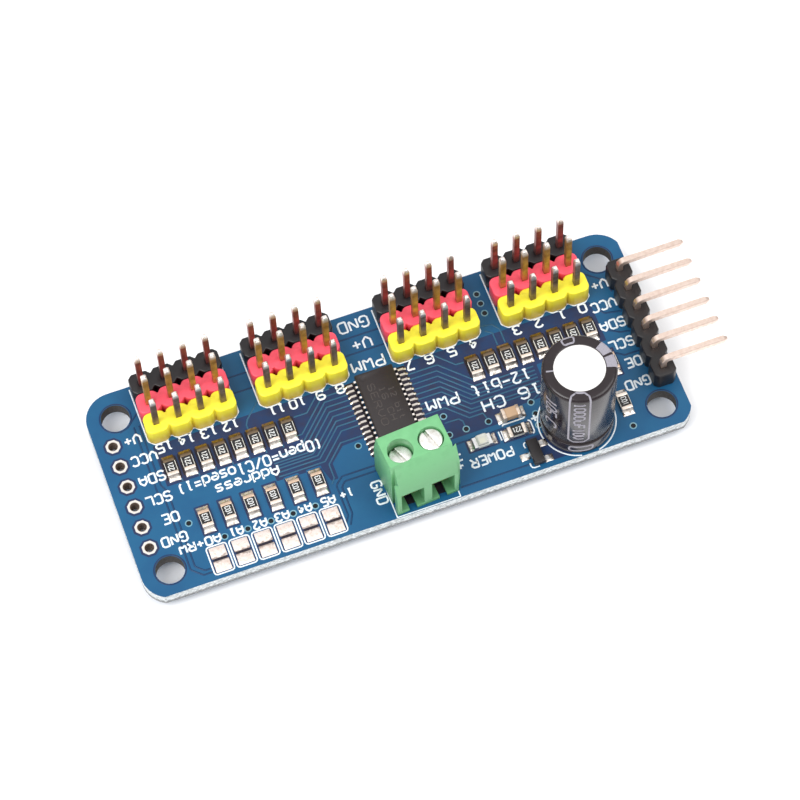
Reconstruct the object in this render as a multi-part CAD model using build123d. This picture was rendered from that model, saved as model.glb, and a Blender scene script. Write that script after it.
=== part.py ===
"""Sixteen-channel servo driver board, built piece by piece. All lengths are in millimetres.

The origin is the centre of the four mounting holes on the board's underside. +X points to the
right-angle control header, +Y to the servo headers and +Z up out of the component side.
"""

import os
from math import cos, radians, sin

from build123d import *

# --- circuit board ---------------------------------------------------------------------------
BOARD_LENGTH = 62.23
BOARD_WIDTH = 25.4
BOARD_T = 1.6
CORNER_R = 3.175
SNAPPED_RIGHT = 0.27  # lost from the right edge where the panel was snapped apart
SNAPPED_FRONT = 0.35  # the same along the front edge
MOUNT_X = 27.94  # mounting holes at +-MOUNT_X, +-MOUNT_Y
MOUNT_Y = 9.525
MOUNT_HOLE_R = 1.6
PITCH = 2.54  # header pitch
DRILL_R = 0.55  # plated holes before plating
VIA_R = 0.22
VIAS = [
    (-24.4, -5.1), (-21.3, -7.9), (-18.7, -7.9), (-16.1, -7.9), (-13.6, -7.9), (-11.1, -7.9),
    (-4.44, -2.8), (5.36, -2.7), (5.2, -5.0), (7.14, -4.96), (9.7, -4.96), (14.8, -4.4),
    (14.8, -5.84), (14.64, -7.24), (13.96, 10.1), (13.96, 8.86), (13.96, 7.6), (24.1, -10.9),
]

# --- pads and solder -------------------------------------------------------------------------
PAD_T = 0.05  # tinned copper above the mask
BARREL_R = 0.5  # finished hole of a plated hole
RING_FLATS = 1.6  # octagonal ring, across flats
BREAKOUT_X = -29.21
BREAKOUT_ROWS = 6
ADDRESS_COUNT = 6
ADDRESS_PITCH = 2.54
ADDRESS_X0 = -22.54
ADDRESS_PAD_Y = -10.17
ADDRESS_PAD = (1.75, 1.35)
ADDRESS_GAP = 0.3
JOINT_PAD_R = 0.85
JOINT_NECK_R = 0.48
JOINT_H = 1.0  # a solder cone's height below the board

# --- pin headers -----------------------------------------------------------------------------
PIN = 0.64
PIN_TAIL_Z = -1.5
PIN_TIP = 0.45  # length of the tapered end
PIN_TIP_END = 0.34  # width of the tapered end
HOUSING_H = 2.54
GROUP_X = [-20.32, -7.62, 7.62, 20.32]
COLUMNS = 4
ROW_Y = {"signal": 6.35, "power": 8.89, "ground": 11.43}
ROW_TIP_Z = {"signal": 9.2, "power": 10.15, "ground": 9.9}
LOBE_R = 0.75  # corners of the coloured housings
LOBE_NOTCH = 0.45  # depth of the notch between two lobes
CELL_CUT = 0.45  # corners cut off the black housings
EDGE_BREAK = 0.1
CONTROL_X = 29.21
CONTROL_WAYS = 6
CONTROL_PIN_Z = 5.5  # middle of the outward run
CONTROL_PIN_END_X = 36.6
CONTROL_BEND_R = 0.62  # middle line of the bend

# --- screw terminal --------------------------------------------------------------------------
TERMINAL_AT = (0.12, -8.72)  # midway between the two screws
TERMINAL_YAW = 4.0
TERMINAL_W = 7.1
POLE_PITCH = 3.5
TERMINAL_TOP = 10.1
TERMINAL_BACK_TOP = 2.3
TERMINAL_BACK = 3.1
TERMINAL_BACK_SHOULDER = 6.5
TERMINAL_FRONT_TOP = -1.4
TERMINAL_FRONT = -3.1
LIP_Z = 5.9
SHELF_Z = 2.1
CELL_W = 2.6
CELL_BACK = 2.15
CELL_TOP = 6.6
CELL_LIP_BACK = -1.8  # the front wall above the wire entry ends here
WELL_R = 1.4
NOTCH_W = 0.9
NOTCH_BACK = 0.5
TONGUE = 0.4
TONGUE_V = (-2.5, -1.5)
TONGUE_FLARE = 0.12
HEAD_R = 1.285
HEAD_H = 1.0
SLOT_W = 0.36
SLOT_DEPTH = 0.5
SHANK_R = 1.0
SHANK_L = 3.2
SWIVEL_R = 0.6
SWIVEL_FIT = 0.05
SWIVEL_PLAY = 0.03
SWAGE_R = 0.85
SWAGE_H = 0.2
CLAMP_T = 0.5
CLAMP_W = 2.2
CLAMP_V = (-1.3, 1.3)
NUT_FIT = 0.05
NUT_Z = (5.95, 6.55)
STRIP_W = 2.4
STRIP_T = 0.4
STRIP_FRONT = -1.5
STRIP_BACK = 2.05
TAIL_W = 0.8
TAIL_T = 0.5
TAIL_Z = -1.4
TERMINAL_DRILL_R = 0.62
TAIL_PAD_R = 1.05
TAIL_NECK_R = 0.56
SCREWS = {  # side along the block, height of the head's top at rest, direction of the slot
    "left": (-POLE_PITCH / 2, 8.6, -71.0),
    "right": (POLE_PITCH / 2, 9.85, -75.5),
}

# --- electrolytic capacitor ------------------------------------------------------------------
CAP_AT = (18.65, -8.15)
CAP_R = 4.0
CAP_FOOT = 1.9
CAP_TOP = 13.9
SLEEVE_T = 0.1
CAN_WALL = 0.25
DISC_R = 2.9  # bare aluminium at the top
BEAD_Z = (3.5, 4.3)
BEAD_DEPTH = 0.35
TOP_ROUND = 0.45
LEAD_R = 0.3
LEAD_PITCH = 3.5
LEAD_END_Z = -1.3
LEAD_DRILL_R = 0.4
LEAD_PAD_R = 0.8
LEAD_NECK_R = 0.4
LEAD_JOINT_H = 0.8
WINDING_R = 3.2
WINDING_Z = (5.2, 13.0)
BUNG_TOP = 4.9

# --- driver chip -----------------------------------------------------------------------------
CHIP = (4.4, 9.7, 1.0)
CHIP_Z = 1.75
CHIP_DRAFT = 0.1
CHIP_LEADS = 14  # on each side
CHIP_PITCH = 0.65
LEAD_W = 0.24
LEAD_T = 0.14
LEAD_KNEE_X = 2.62
LEAD_FOOT_X = 3.25
DIMPLE_AT = (-1.45, 4.1)
DIMPLE_R = 0.3

# --- small surface-mount parts ---------------------------------------------------------------
SMD_L = 2.0
SMD_W = 1.25
SMD_H = 0.5
END_L = 0.38
END_T = 0.04
FILM_T = 0.03
FOOT_L = 0.6  # solder pad beyond the part's end
FOOT_W = 1.35
FILLET_H = 0.36
SERIES_COUNT = 8
SERIES_PITCH = 1.905
SERIES_X0 = (-24.13, 10.6)
SERIES_Y = 1.7
LAMP_RESISTOR_AT = (12.15, -7.2)
PULL_RESISTOR_Y = -5.35
EXTRA_PULLS = [(24.2, -8.0), (24.7, -3.0), (22.0, -3.0)]
CERAMIC_AT = (12.2, -5.1)
CERAMIC_H = 0.9
LAMP_AT = (8.2, -7.05)
LAMP_BASE_H = 0.35
LAMP_LENS = (1.2, 1.15, 0.5)
TRANSISTOR_AT = (13.05, -10.35)
TRANSISTOR = (1.3, 2.9, 0.95)
TRANSISTOR_Z = 1.72
TRANSISTOR_REACH = 1.2  # middle line to a lead's toe
TRANSISTOR_LEAD_W = 0.4
TRANSISTOR_LEAD_PITCH = 1.9


def block(x, y, z):
    """A box from three (low, high) pairs."""
    size = (x[1] - x[0], y[1] - y[0], z[1] - z[0])
    middle = ((x[0] + x[1]) / 2, (y[0] + y[1]) / 2, (z[0] + z[1]) / 2)
    return Pos(*middle) * Box(*size)


def turned(points):
    """A ring-shaped or solid piece from an (r, z) outline turned about Z."""
    outline = Plane.XZ * make_face(Polyline(*points, close=True))
    return revolve(outline, Axis.Z)


def prism_along_y(points, y0, y1):
    """An (x, z) outline pushed along Y from y0 to y1."""
    outline = Plane.XZ * make_face(Polyline(*points, close=True))
    return Pos(0, y1, 0) * extrude(outline, y1 - y0)


def prism_along_x(points, x0, x1):
    """A (y, z) outline pushed along X from x0 to x1."""
    outline = Plane.YZ * make_face(Polyline(*points, close=True))
    return Pos(x0, 0, 0) * extrude(outline, x1 - x0)


def save(name, pieces):
    """Write one node: a single solid, or a group of separate ones."""
    pieces = pieces if isinstance(pieces, list) else [pieces]
    solids = [solid for piece in pieces for solid in piece.solids()]
    shape = solids[0] if len(solids) == 1 else Compound(children=solids)
    export_step(shape, f"parts/{name}.step")


# --- places ----------------------------------------------------------------------------------
def column_offsets(count):
    """Offsets of a row of pins about its middle, from low to high."""
    return [(i - (count - 1) / 2) * PITCH for i in range(count)]


def servo_pin_places():
    """Every servo pin's place on the board."""
    return [(x + dx, y) for x in GROUP_X for y in ROW_Y.values() for dx in column_offsets(COLUMNS)]


def control_pin_places():
    """The right-angle header's pins."""
    return [(CONTROL_X, dy) for dy in column_offsets(CONTROL_WAYS)]


def breakout_places():
    """The six unfitted plated holes."""
    return [(BREAKOUT_X, dy) for dy in column_offsets(BREAKOUT_ROWS)]


def terminal_place(u, v=0.0):
    """A point of the turned screw terminal, u along its width and v towards its back."""
    c, s = cos(radians(TERMINAL_YAW)), sin(radians(TERMINAL_YAW))
    return (TERMINAL_AT[0] + u * c - v * s, TERMINAL_AT[1] + u * s + v * c)


def in_terminal(piece):
    """Put a piece built about the block's own middle in its place on the board."""
    return Pos(*TERMINAL_AT, 0) * Rot(0, 0, TERMINAL_YAW) * piece


def capacitor_lead_places():
    """The capacitor's two leads."""
    return [(CAP_AT[0] + side * LEAD_PITCH / 2, CAP_AT[1]) for side in (-1, 1)]


def terminal_tail_places():
    """The two terminal tails, straight under the screws."""
    return [terminal_place(u) for u, _, _ in SCREWS.values()]


def series_resistor_places():
    """Sixteen channel resistors in two banks."""
    return [(x0 + i * SERIES_PITCH, SERIES_Y) for x0 in SERIES_X0 for i in range(SERIES_COUNT)]


def pull_resistor_places():
    """Six address resistors and the ones beside the capacitor."""
    row = [(ADDRESS_X0 + i * ADDRESS_PITCH, PULL_RESISTOR_Y) for i in range(ADDRESS_COUNT)]
    return row + EXTRA_PULLS


# --- board and pads --------------------------------------------------------------------------
def circuit_board():
    """The laminate with all its holes."""
    kept = (BOARD_LENGTH - SNAPPED_RIGHT, BOARD_WIDTH - SNAPPED_FRONT)
    trim = Pos(-SNAPPED_RIGHT / 2, SNAPPED_FRONT / 2) * Rectangle(*kept)
    outline = RectangleRounded(BOARD_LENGTH, BOARD_WIDTH, CORNER_R) & trim
    mounts = [(sx * MOUNT_X, sy * MOUNT_Y) for sx in (-1, 1) for sy in (-1, 1)]
    holes = [Pos(x, y) * Circle(MOUNT_HOLE_R) for x, y in mounts]
    plated = servo_pin_places() + control_pin_places() + breakout_places()
    holes += [Pos(x, y) * Circle(DRILL_R) for x, y in plated]
    holes += [Pos(x, y) * Circle(TERMINAL_DRILL_R) for x, y in terminal_tail_places()]
    holes += [Pos(x, y) * Circle(LEAD_DRILL_R) for x, y in capacitor_lead_places()]
    holes += [Pos(x, y) * Circle(VIA_R) for x, y in VIAS]
    return extrude(outline - holes, BOARD_T)


def breakout_pads():
    """Plated barrels with an octagonal ring on each face."""
    ring = RegularPolygon(RING_FLATS / 2, 8, major_radius=False, rotation=22.5) - Circle(BARREL_R)
    wall = Circle(DRILL_R) - Circle(BARREL_R)
    pad = extrude(wall, BOARD_T)
    pad += Pos(0, 0, BOARD_T) * extrude(ring, PAD_T)
    pad += Pos(0, 0, -PAD_T) * extrude(ring, PAD_T)
    return [Pos(x, y, 0) * pad for x, y in breakout_places()]


def address_pads():
    """Two tinned halves for each address bit."""
    half = (ADDRESS_PAD[1] + ADDRESS_GAP) / 2
    pad = Pos(0, 0, BOARD_T + PAD_T / 2) * Box(*ADDRESS_PAD, PAD_T)
    columns = [ADDRESS_X0 + i * ADDRESS_PITCH for i in range(ADDRESS_COUNT)]
    return [Pos(x, ADDRESS_PAD_Y + s * half, 0) * pad for x in columns for s in (-1, 1)]


def solder_joint(drill_r, pad_r, neck_r, height):
    """Solder that fills a plated hole and rises as a cone round the tail below."""
    return turned([
        (0, BOARD_T), (drill_r, BOARD_T), (drill_r, 0), (pad_r, 0), (pad_r, -PAD_T),
        (neck_r + 0.4 * (pad_r - neck_r), -0.35 * height), (neck_r, -height), (0, -height),
    ])


def header_joints():
    """Joints of all straight and bent header pins."""
    joint = solder_joint(DRILL_R, JOINT_PAD_R, JOINT_NECK_R, JOINT_H) - Box(PIN, PIN, 8)
    return [Pos(x, y, 0) * joint for x, y in servo_pin_places() + control_pin_places()]


def terminal_joints():
    """Joints of the two terminal tails."""
    joint = solder_joint(TERMINAL_DRILL_R, TAIL_PAD_R, TAIL_NECK_R, JOINT_H)
    joint = Rot(0, 0, TERMINAL_YAW) * (joint - Box(TAIL_W, TAIL_T, 8))
    return [Pos(x, y, 0) * joint for x, y in terminal_tail_places()]


def capacitor_joints():
    """Joints of the two capacitor leads."""
    joint = solder_joint(LEAD_DRILL_R, LEAD_PAD_R, LEAD_NECK_R, LEAD_JOINT_H) - Cylinder(LEAD_R, 8)
    return [Pos(x, y, 0) * joint for x, y in capacitor_lead_places()]


# --- headers ---------------------------------------------------------------------------------
def lobed_outline():
    """Four rounded cells in a row, with a shallow web that closes the cusps between them."""
    cell = RectangleRounded(PITCH, PITCH, LOBE_R)
    web = Rectangle((COLUMNS - 1) * PITCH, PITCH - 2 * LOBE_NOTCH)
    outline = web
    for dx in column_offsets(COLUMNS):
        outline += Pos(dx, 0) * cell
    return outline


def octagon_outline(ways):
    """A row of square cells with their corners cut, so that V grooves part them."""
    half, cut = PITCH / 2, PITCH / 2 - CELL_CUT
    corners = [(-half, -cut), (-cut, -half), (cut, -half), (half, -cut),
               (half, cut), (cut, half), (-cut, half), (-half, cut)]
    cell = make_face(Polyline(*corners, close=True))
    outline = Sketch()
    for dx in column_offsets(ways):
        outline += Pos(dx, 0) * cell
    return outline


def header_housing(outline, ways):
    """An outline raised to a housing, its top edge broken, with a square hole for each pin."""
    body = extrude(outline, HOUSING_H)
    body = chamfer(body.faces().sort_by(Axis.Z)[-1].edges(), EDGE_BREAK)
    for dx in column_offsets(ways):
        body -= Pos(dx, 0, HOUSING_H / 2) * Box(PIN, PIN, 2 * HOUSING_H)
    return Pos(0, 0, BOARD_T) * body


def servo_housing(row, x):
    """One four-way strip: lobed for signal and power, octagonal for ground."""
    outline = octagon_outline(COLUMNS) if row == "ground" else lobed_outline()
    return Pos(x, ROW_Y[row], 0) * header_housing(outline, COLUMNS)


def tapered_end(length):
    """The pointed end of a square pin, rising from z = 0."""
    low = Rectangle(PIN, PIN)
    high = Pos(0, 0, length) * Rectangle(PIN_TIP_END, PIN_TIP_END)
    return loft([low, high])


def straight_pin(tip_z):
    """A square pin from under the board to its tapered tip."""
    body = block((-PIN / 2, PIN / 2), (-PIN / 2, PIN / 2), (PIN_TAIL_Z, tip_z - PIN_TIP))
    return body + Pos(0, 0, tip_z - PIN_TIP) * tapered_end(PIN_TIP)


def servo_pins(row, x):
    """The four pins of one strip."""
    pin = straight_pin(ROW_TIP_Z[row])
    return [Pos(x + dx, ROW_Y[row], 0) * pin for dx in column_offsets(COLUMNS)]


def control_housing():
    """The six-way strip, its cells in a row along Y."""
    housing = Rot(0, 0, 90) * header_housing(octagon_outline(CONTROL_WAYS), CONTROL_WAYS)
    return Pos(CONTROL_X, 0, 0) * housing


def control_pins():
    """Pins that rise through the housing and bend outwards over the board's edge."""
    run_end = CONTROL_PIN_END_X - CONTROL_X - PIN_TIP
    bend_r, half = CONTROL_BEND_R, PIN / 2
    rise = block((-half, half), (-half, half), (PIN_TAIL_Z, CONTROL_PIN_Z - bend_r))
    section = Pos(-bend_r, 0) * Rectangle(PIN, PIN)
    bend = revolve(Plane.XY * section, Axis((0, 0, 0), (0, 1, 0)), 90)
    bend = Pos(bend_r, 0, CONTROL_PIN_Z - bend_r) * bend
    run = block((bend_r, run_end), (-half, half), (CONTROL_PIN_Z - half, CONTROL_PIN_Z + half))
    tip = Pos(run_end, 0, CONTROL_PIN_Z) * Rot(0, 90, 0) * tapered_end(PIN_TIP)
    pin = rise + bend + run + tip
    return [Pos(x, y, 0) * pin for x, y in control_pin_places()]


# --- screw terminal --------------------------------------------------------------------------
def terminal_profile():
    """The block's (v, z) side outline: sloping front above the wire entries, sloping back."""
    return [
        (TERMINAL_FRONT, BOARD_T), (TERMINAL_BACK, BOARD_T),
        (TERMINAL_BACK, TERMINAL_BACK_SHOULDER), (TERMINAL_BACK_TOP, TERMINAL_TOP),
        (TERMINAL_FRONT_TOP, TERMINAL_TOP), (TERMINAL_FRONT, LIP_Z),
    ]


def dovetail(base_u):
    """A vertical dovetail as tall as the block, its narrow side at base_u, flaring to +u."""
    low, high = TONGUE_V
    corners = [(base_u, low + TONGUE_FLARE), (base_u + TONGUE, low),
               (base_u + TONGUE, high), (base_u, high - TONGUE_FLARE)]
    tall = extrude(make_face(Polyline(*corners, close=True)), TERMINAL_TOP - BOARD_T)
    within = prism_along_x(terminal_profile(), base_u - 1, base_u + TONGUE + 1)
    return Pos(0, 0, BOARD_T) * tall & within


def pole_room(u):
    """The space in one pole: wire entry, chamber, screw well, and slot under the entry."""
    sides = (u - CELL_W / 2, u + CELL_W / 2)
    entry = block(sides, (TERMINAL_FRONT - 1, CELL_BACK), (SHELF_Z, LIP_Z))
    chamber = block(sides, (CELL_LIP_BACK, CELL_BACK), (SHELF_Z, CELL_TOP))
    well = Pos(u, 0, TERMINAL_TOP) * Cylinder(WELL_R, 2 * (TERMINAL_TOP - CELL_TOP) + 0.2)
    notch = block((u - NOTCH_W / 2, u + NOTCH_W / 2), (TERMINAL_FRONT - 1, NOTCH_BACK), (0, 3))
    return [entry, chamber, well, notch]


def terminal_housing():
    """The green two-pole block with a tongue on its right side and a groove on its left."""
    body = prism_along_x(terminal_profile(), -TERMINAL_W / 2, TERMINAL_W / 2)
    body += dovetail(TERMINAL_W / 2)
    body -= dovetail(-TERMINAL_W / 2 - 0.001)
    for u, _, _ in SCREWS.values():
        body -= pole_room(u)
    return in_terminal(body)


def terminal_contact(side):
    """Nut plate, back, floor and tail of one pole, bent from one brass strip."""
    u = SCREWS[side][0]
    across = (u - STRIP_W / 2, u + STRIP_W / 2)
    nut = block(across, (STRIP_FRONT, STRIP_BACK), NUT_Z)
    nut -= Pos(u, 0, NUT_Z[0]) * Cylinder(SHANK_R + NUT_FIT, 4)
    back = block(across, (STRIP_BACK - STRIP_T, STRIP_BACK), (SHELF_Z, NUT_Z[0]))
    floor = block(across, (STRIP_FRONT, STRIP_BACK), (SHELF_Z, SHELF_Z + STRIP_T))
    tail = block((u - TAIL_W / 2, u + TAIL_W / 2), (-TAIL_T / 2, TAIL_T / 2), (TAIL_Z, SHELF_Z))
    return in_terminal(nut + back + floor + tail)


def terminal_screw(side):
    """Slotted screw whose swaged end turns in the clamping plate."""
    u, head_top, slot_angle = SCREWS[side]
    head = Cylinder(HEAD_R, HEAD_H, align=(Align.CENTER, Align.CENTER, Align.MAX))
    head = chamfer(head.edges().sort_by(Axis.Z)[-1], EDGE_BREAK)
    head -= Rot(0, 0, slot_angle) * Box(3 * HEAD_R, SLOT_W, 2 * SLOT_DEPTH)
    neck_z = -HEAD_H - SHANK_L
    neck_l = CLAMP_T + 2 * SWIVEL_PLAY
    shank = Pos(0, 0, -HEAD_H - SHANK_L / 2) * Cylinder(SHANK_R, SHANK_L)
    neck = Pos(0, 0, neck_z - neck_l / 2) * Cylinder(SWIVEL_R, neck_l)
    swage = Pos(0, 0, neck_z - neck_l - SWAGE_H / 2) * Cylinder(SWAGE_R, SWAGE_H)
    return in_terminal(Pos(u, 0, head_top) * (head + shank + neck + swage))


def clamp_plate(side):
    """The plate that presses the wire down on the contact's floor."""
    u, head_top, _ = SCREWS[side]
    top = head_top - HEAD_H - SHANK_L - SWIVEL_PLAY
    plate = block((u - CLAMP_W / 2, u + CLAMP_W / 2), CLAMP_V, (top - CLAMP_T, top))
    plate -= Pos(u, 0, top) * Cylinder(SWIVEL_R + SWIVEL_FIT, 4)
    return in_terminal(plate)


# --- electrolytic capacitor ------------------------------------------------------------------
def can_outline(r, top, foot):
    """The (r, z) outer line of a beaded can of radius r, from its foot up to its top edge."""
    dip = r - BEAD_DEPTH
    middle = (BEAD_Z[0] + BEAD_Z[1]) / 2
    return [(r, foot), (r, BEAD_Z[0]), (dip, middle - 0.15), (dip, middle + 0.15),
            (r, BEAD_Z[1]), (r, top - TOP_ROUND), (r - 0.14, top - 0.14), (r - TOP_ROUND, top)]


def at_capacitor(piece):
    """Put a piece built about Z in the capacitor's place."""
    return Pos(*CAP_AT, 0) * piece


def capacitor_sleeve():
    """Thin plastic sleeve that wraps over the can's top edge and under its foot."""
    outer = can_outline(CAP_R, CAP_TOP, CAP_FOOT)
    inner = can_outline(CAP_R - SLEEVE_T, CAP_TOP - SLEEVE_T, CAP_FOOT + SLEEVE_T)
    rim = [(DISC_R, CAP_TOP), (DISC_R, CAP_TOP - SLEEVE_T)]
    lip = [(CAP_R - 0.6, CAP_FOOT + SLEEVE_T), (CAP_R - 0.6, CAP_FOOT)]
    return at_capacitor(turned(outer + rim + inner[::-1] + lip))


def capacitor_can():
    """Drawn aluminium can, open below, with the bead that holds the bung."""
    outer_r, inner_r = CAP_R - SLEEVE_T, CAP_R - SLEEVE_T - CAN_WALL
    top, foot = CAP_TOP - SLEEVE_T, CAP_FOOT + SLEEVE_T
    outer = can_outline(outer_r, top, foot)
    inner = can_outline(inner_r, top - CAN_WALL, foot)
    return at_capacitor(turned(outer + [(0, top), (0, top - CAN_WALL)] + inner[::-1]))


def capacitor_bung():
    """Rubber bung pinched by the bead, with a hole for each lead."""
    inner_r = CAP_R - SLEEVE_T - CAN_WALL
    below = [p for p in can_outline(inner_r, CAP_TOP, CAP_FOOT + SLEEVE_T) if p[1] < BUNG_TOP]
    foot_r = CAP_R - 0.7
    foot = [(0, BOARD_T), (foot_r, BOARD_T), (foot_r, CAP_FOOT + SLEEVE_T)]
    bung = turned(foot + below + [(inner_r, BUNG_TOP), (0, BUNG_TOP)])
    for side in (-1, 1):
        bung -= Pos(side * LEAD_PITCH / 2, 0, 0) * Cylinder(LEAD_R, 20)
    return at_capacitor(bung)


def capacitor_leads():
    """Two tinned leads from the winding through the bung and the board."""
    length = WINDING_Z[0] - LEAD_END_Z
    lead = Pos(0, 0, LEAD_END_Z + length / 2) * Cylinder(LEAD_R, length)
    return [Pos(x, y, 0) * lead for x, y in capacitor_lead_places()]


def capacitor_winding():
    """The rolled foil and paper."""
    height = WINDING_Z[1] - WINDING_Z[0]
    return at_capacitor(Pos(0, 0, WINDING_Z[0] + height / 2) * Cylinder(WINDING_R, height))


# --- driver chip -----------------------------------------------------------------------------
def moulded_body(size, foot_z, draft):
    """A moulded package with drafted sides that meet at mid height."""
    low, mid, high = foot_z, foot_z + size[2] / 2, foot_z + size[2]

    def hexagon(width):
        return [(-width / 2 + draft, low), (width / 2 - draft, low), (width / 2, mid),
                (width / 2 - draft, high), (-width / 2 + draft, high), (-width / 2, mid)]

    across = prism_along_y(hexagon(size[0]), -size[1], size[1])
    along = prism_along_x(hexagon(size[1]), -size[0], size[0])
    return across & along


def gull_wing(body_x, knee_x, foot_x, high_z, width):
    """A lead that leaves the body at high_z, steps down and lies on its pad."""
    foot_z = BOARD_T + PAD_T
    slant = 0.18
    outline = [
        (body_x, high_z + LEAD_T), (knee_x - slant, high_z + LEAD_T), (knee_x, foot_z + LEAD_T),
        (foot_x, foot_z + LEAD_T), (foot_x, foot_z), (knee_x - 0.1, foot_z),
        (knee_x - slant - 0.12, high_z), (body_x, high_z),
    ]
    return prism_along_y(outline, -width / 2, width / 2)


def chip_lead_rows():
    """Y places of the leads on one side."""
    return [(i - (CHIP_LEADS - 1) / 2) * CHIP_PITCH for i in range(CHIP_LEADS)]


def driver_chip_body():
    """The moulded body with the dimple that marks its first lead."""
    body = moulded_body(CHIP, CHIP_Z, CHIP_DRAFT)
    return body - Pos(*DIMPLE_AT, CHIP_Z + CHIP[2]) * Cylinder(DIMPLE_R, 0.1)


def driver_chip_leads():
    """Twenty-eight gull-wing leads."""
    mid_z = CHIP_Z + CHIP[2] / 2
    lead = gull_wing(CHIP[0] / 2, LEAD_KNEE_X, LEAD_FOOT_X, mid_z - LEAD_T / 2, LEAD_W)
    rows = chip_lead_rows()
    return [Rot(0, 0, turn) * Pos(0, y, 0) * lead for turn in (0, 180) for y in rows]


# --- small surface-mount parts ---------------------------------------------------------------
def standing(x, y, piece):
    """Place a two-ended part built along X so that it lies along Y at (x, y)."""
    return Pos(x, y, 0) * Rot(0, 0, 90) * piece


def lying(at, piece):
    """Place a two-ended part built along X at a point, unturned."""
    return Pos(*at, 0) * piece


def chip_core(height):
    """A ceramic block that leaves room for the end metal."""
    foot = BOARD_T + PAD_T
    return block((-SMD_L / 2 + END_T, SMD_L / 2 - END_T), (-SMD_W / 2 + END_T, SMD_W / 2 - END_T),
                 (foot + END_T, foot + height - END_T))


def chip_ends(height):
    """Two caps of plated metal wrapped round the ends of a block."""
    foot = BOARD_T + PAD_T
    core = chip_core(height)
    ends = []
    for side in (-1, 1):
        reach = sorted((side * SMD_L / 2, side * (SMD_L / 2 - END_L)))
        cap = block(reach, (-SMD_W / 2, SMD_W / 2), (foot, foot + height))
        ends.append(cap - core)
    return ends


def resistor_glaze():
    """The dark glaze on top of a resistor, between its end metal."""
    top = BOARD_T + PAD_T + SMD_H - END_T
    reach = SMD_L / 2 - END_L
    return block((-reach, reach), (-SMD_W / 2 + END_T, SMD_W / 2 - END_T), (top, top + FILM_T))


def all_standing(places, pieces):
    """Every piece of a part, for each of its places, lying along Y."""
    return [standing(x, y, piece) for x, y in places for piece in pieces]


def at_series_resistors(pieces):
    """Every piece of a resistor, for the sixteen channels and for the lamp."""
    row = all_standing(series_resistor_places(), pieces)
    return row + [lying(LAMP_RESISTOR_AT, piece) for piece in pieces]


def at_pull_resistors(pieces):
    """Every piece of a resistor, for the address bits and beside the capacitor."""
    return all_standing(pull_resistor_places(), pieces)


def lamp_base():
    """The lamp's white base, between its end metal."""
    foot = BOARD_T + PAD_T
    reach = SMD_L / 2 - END_L
    return lying(LAMP_AT, block((-reach, reach), (-SMD_W / 2, SMD_W / 2),
                                (foot, foot + LAMP_BASE_H)))


def lamp_lens():
    """The clear moulding over the lamp's die."""
    foot = BOARD_T + PAD_T + LAMP_BASE_H
    shape = Pos(0, 0, foot + LAMP_LENS[2] / 2) * Box(*LAMP_LENS)
    return lying(LAMP_AT, chamfer(shape.edges().filter_by(Axis.Y).sort_by(Axis.Z)[-2:], 0.15))


def lamp_ends():
    """The lamp's two end pads."""
    foot = BOARD_T + PAD_T
    outer, inner = SMD_L / 2, SMD_L / 2 - END_L
    wide = (-SMD_W / 2, SMD_W / 2)
    pads = [block((-outer, -inner), wide, (foot, foot + LAMP_BASE_H)),
            block((inner, outer), wide, (foot, foot + LAMP_BASE_H))]
    return [lying(LAMP_AT, pad) for pad in pads]


def transistor_body():
    """The small three-lead package."""
    return lying(TRANSISTOR_AT, moulded_body(TRANSISTOR, TRANSISTOR_Z, 0.08))


def transistor_lead_places():
    """Turn about Z and offset along Y of the three leads."""
    half = TRANSISTOR_LEAD_PITCH / 2
    return [(0, -half), (0, half), (180, 0)]


def transistor_leads():
    """One lead to the left and two to the right."""
    high = TRANSISTOR_Z + TRANSISTOR[2] / 2 - LEAD_T
    lead = gull_wing(TRANSISTOR[0] / 2, 0.85, TRANSISTOR_REACH, high, TRANSISTOR_LEAD_W)
    pieces = [Rot(0, 0, turn) * Pos(0, y, 0) * lead for turn, y in transistor_lead_places()]
    return [lying(TRANSISTOR_AT, piece) for piece in pieces]


# --- surface-mount solder --------------------------------------------------------------------
def end_fillets():
    """Pad and solder wedge at both ends of a two-ended part along X."""
    low, foot = BOARD_T, BOARD_T + PAD_T
    end, far = SMD_L / 2, SMD_L / 2 + FOOT_L
    outline = [(end - END_L, low), (far, low), (far, foot), (end + 0.2, foot + 0.3 * FILLET_H),
               (end, foot + FILLET_H), (end, foot), (end - END_L, foot)]
    wedge = prism_along_y(outline, -FOOT_W / 2, FOOT_W / 2)
    return [wedge, Rot(0, 0, 180) * wedge]


def chip_pads():
    """A tinned pad under each of the chip's leads."""
    pad = block((LEAD_KNEE_X - 0.25, LEAD_FOOT_X + 0.35), (-0.17, 0.17),
                (BOARD_T, BOARD_T + PAD_T))
    return [Rot(0, 0, turn) * Pos(0, y, 0) * pad for turn in (0, 180) for y in chip_lead_rows()]


def transistor_pads():
    """A tinned pad under each of the transistor's leads."""
    pad = block((0.7, 1.65), (-0.42, 0.42), (BOARD_T, BOARD_T + PAD_T))
    pieces = [Rot(0, 0, turn) * Pos(0, y, 0) * pad for turn, y in transistor_lead_places()]
    return [lying(TRANSISTOR_AT, piece) for piece in pieces]


def surface_solder():
    """All solder and pads of the surface-mount parts."""
    fillets = end_fillets()
    pieces = all_standing(series_resistor_places() + pull_resistor_places(), fillets)
    for at in (LAMP_RESISTOR_AT, CERAMIC_AT, LAMP_AT):
        pieces += [lying(at, fillet) for fillet in fillets]
    return pieces + chip_pads() + transistor_pads()


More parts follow.
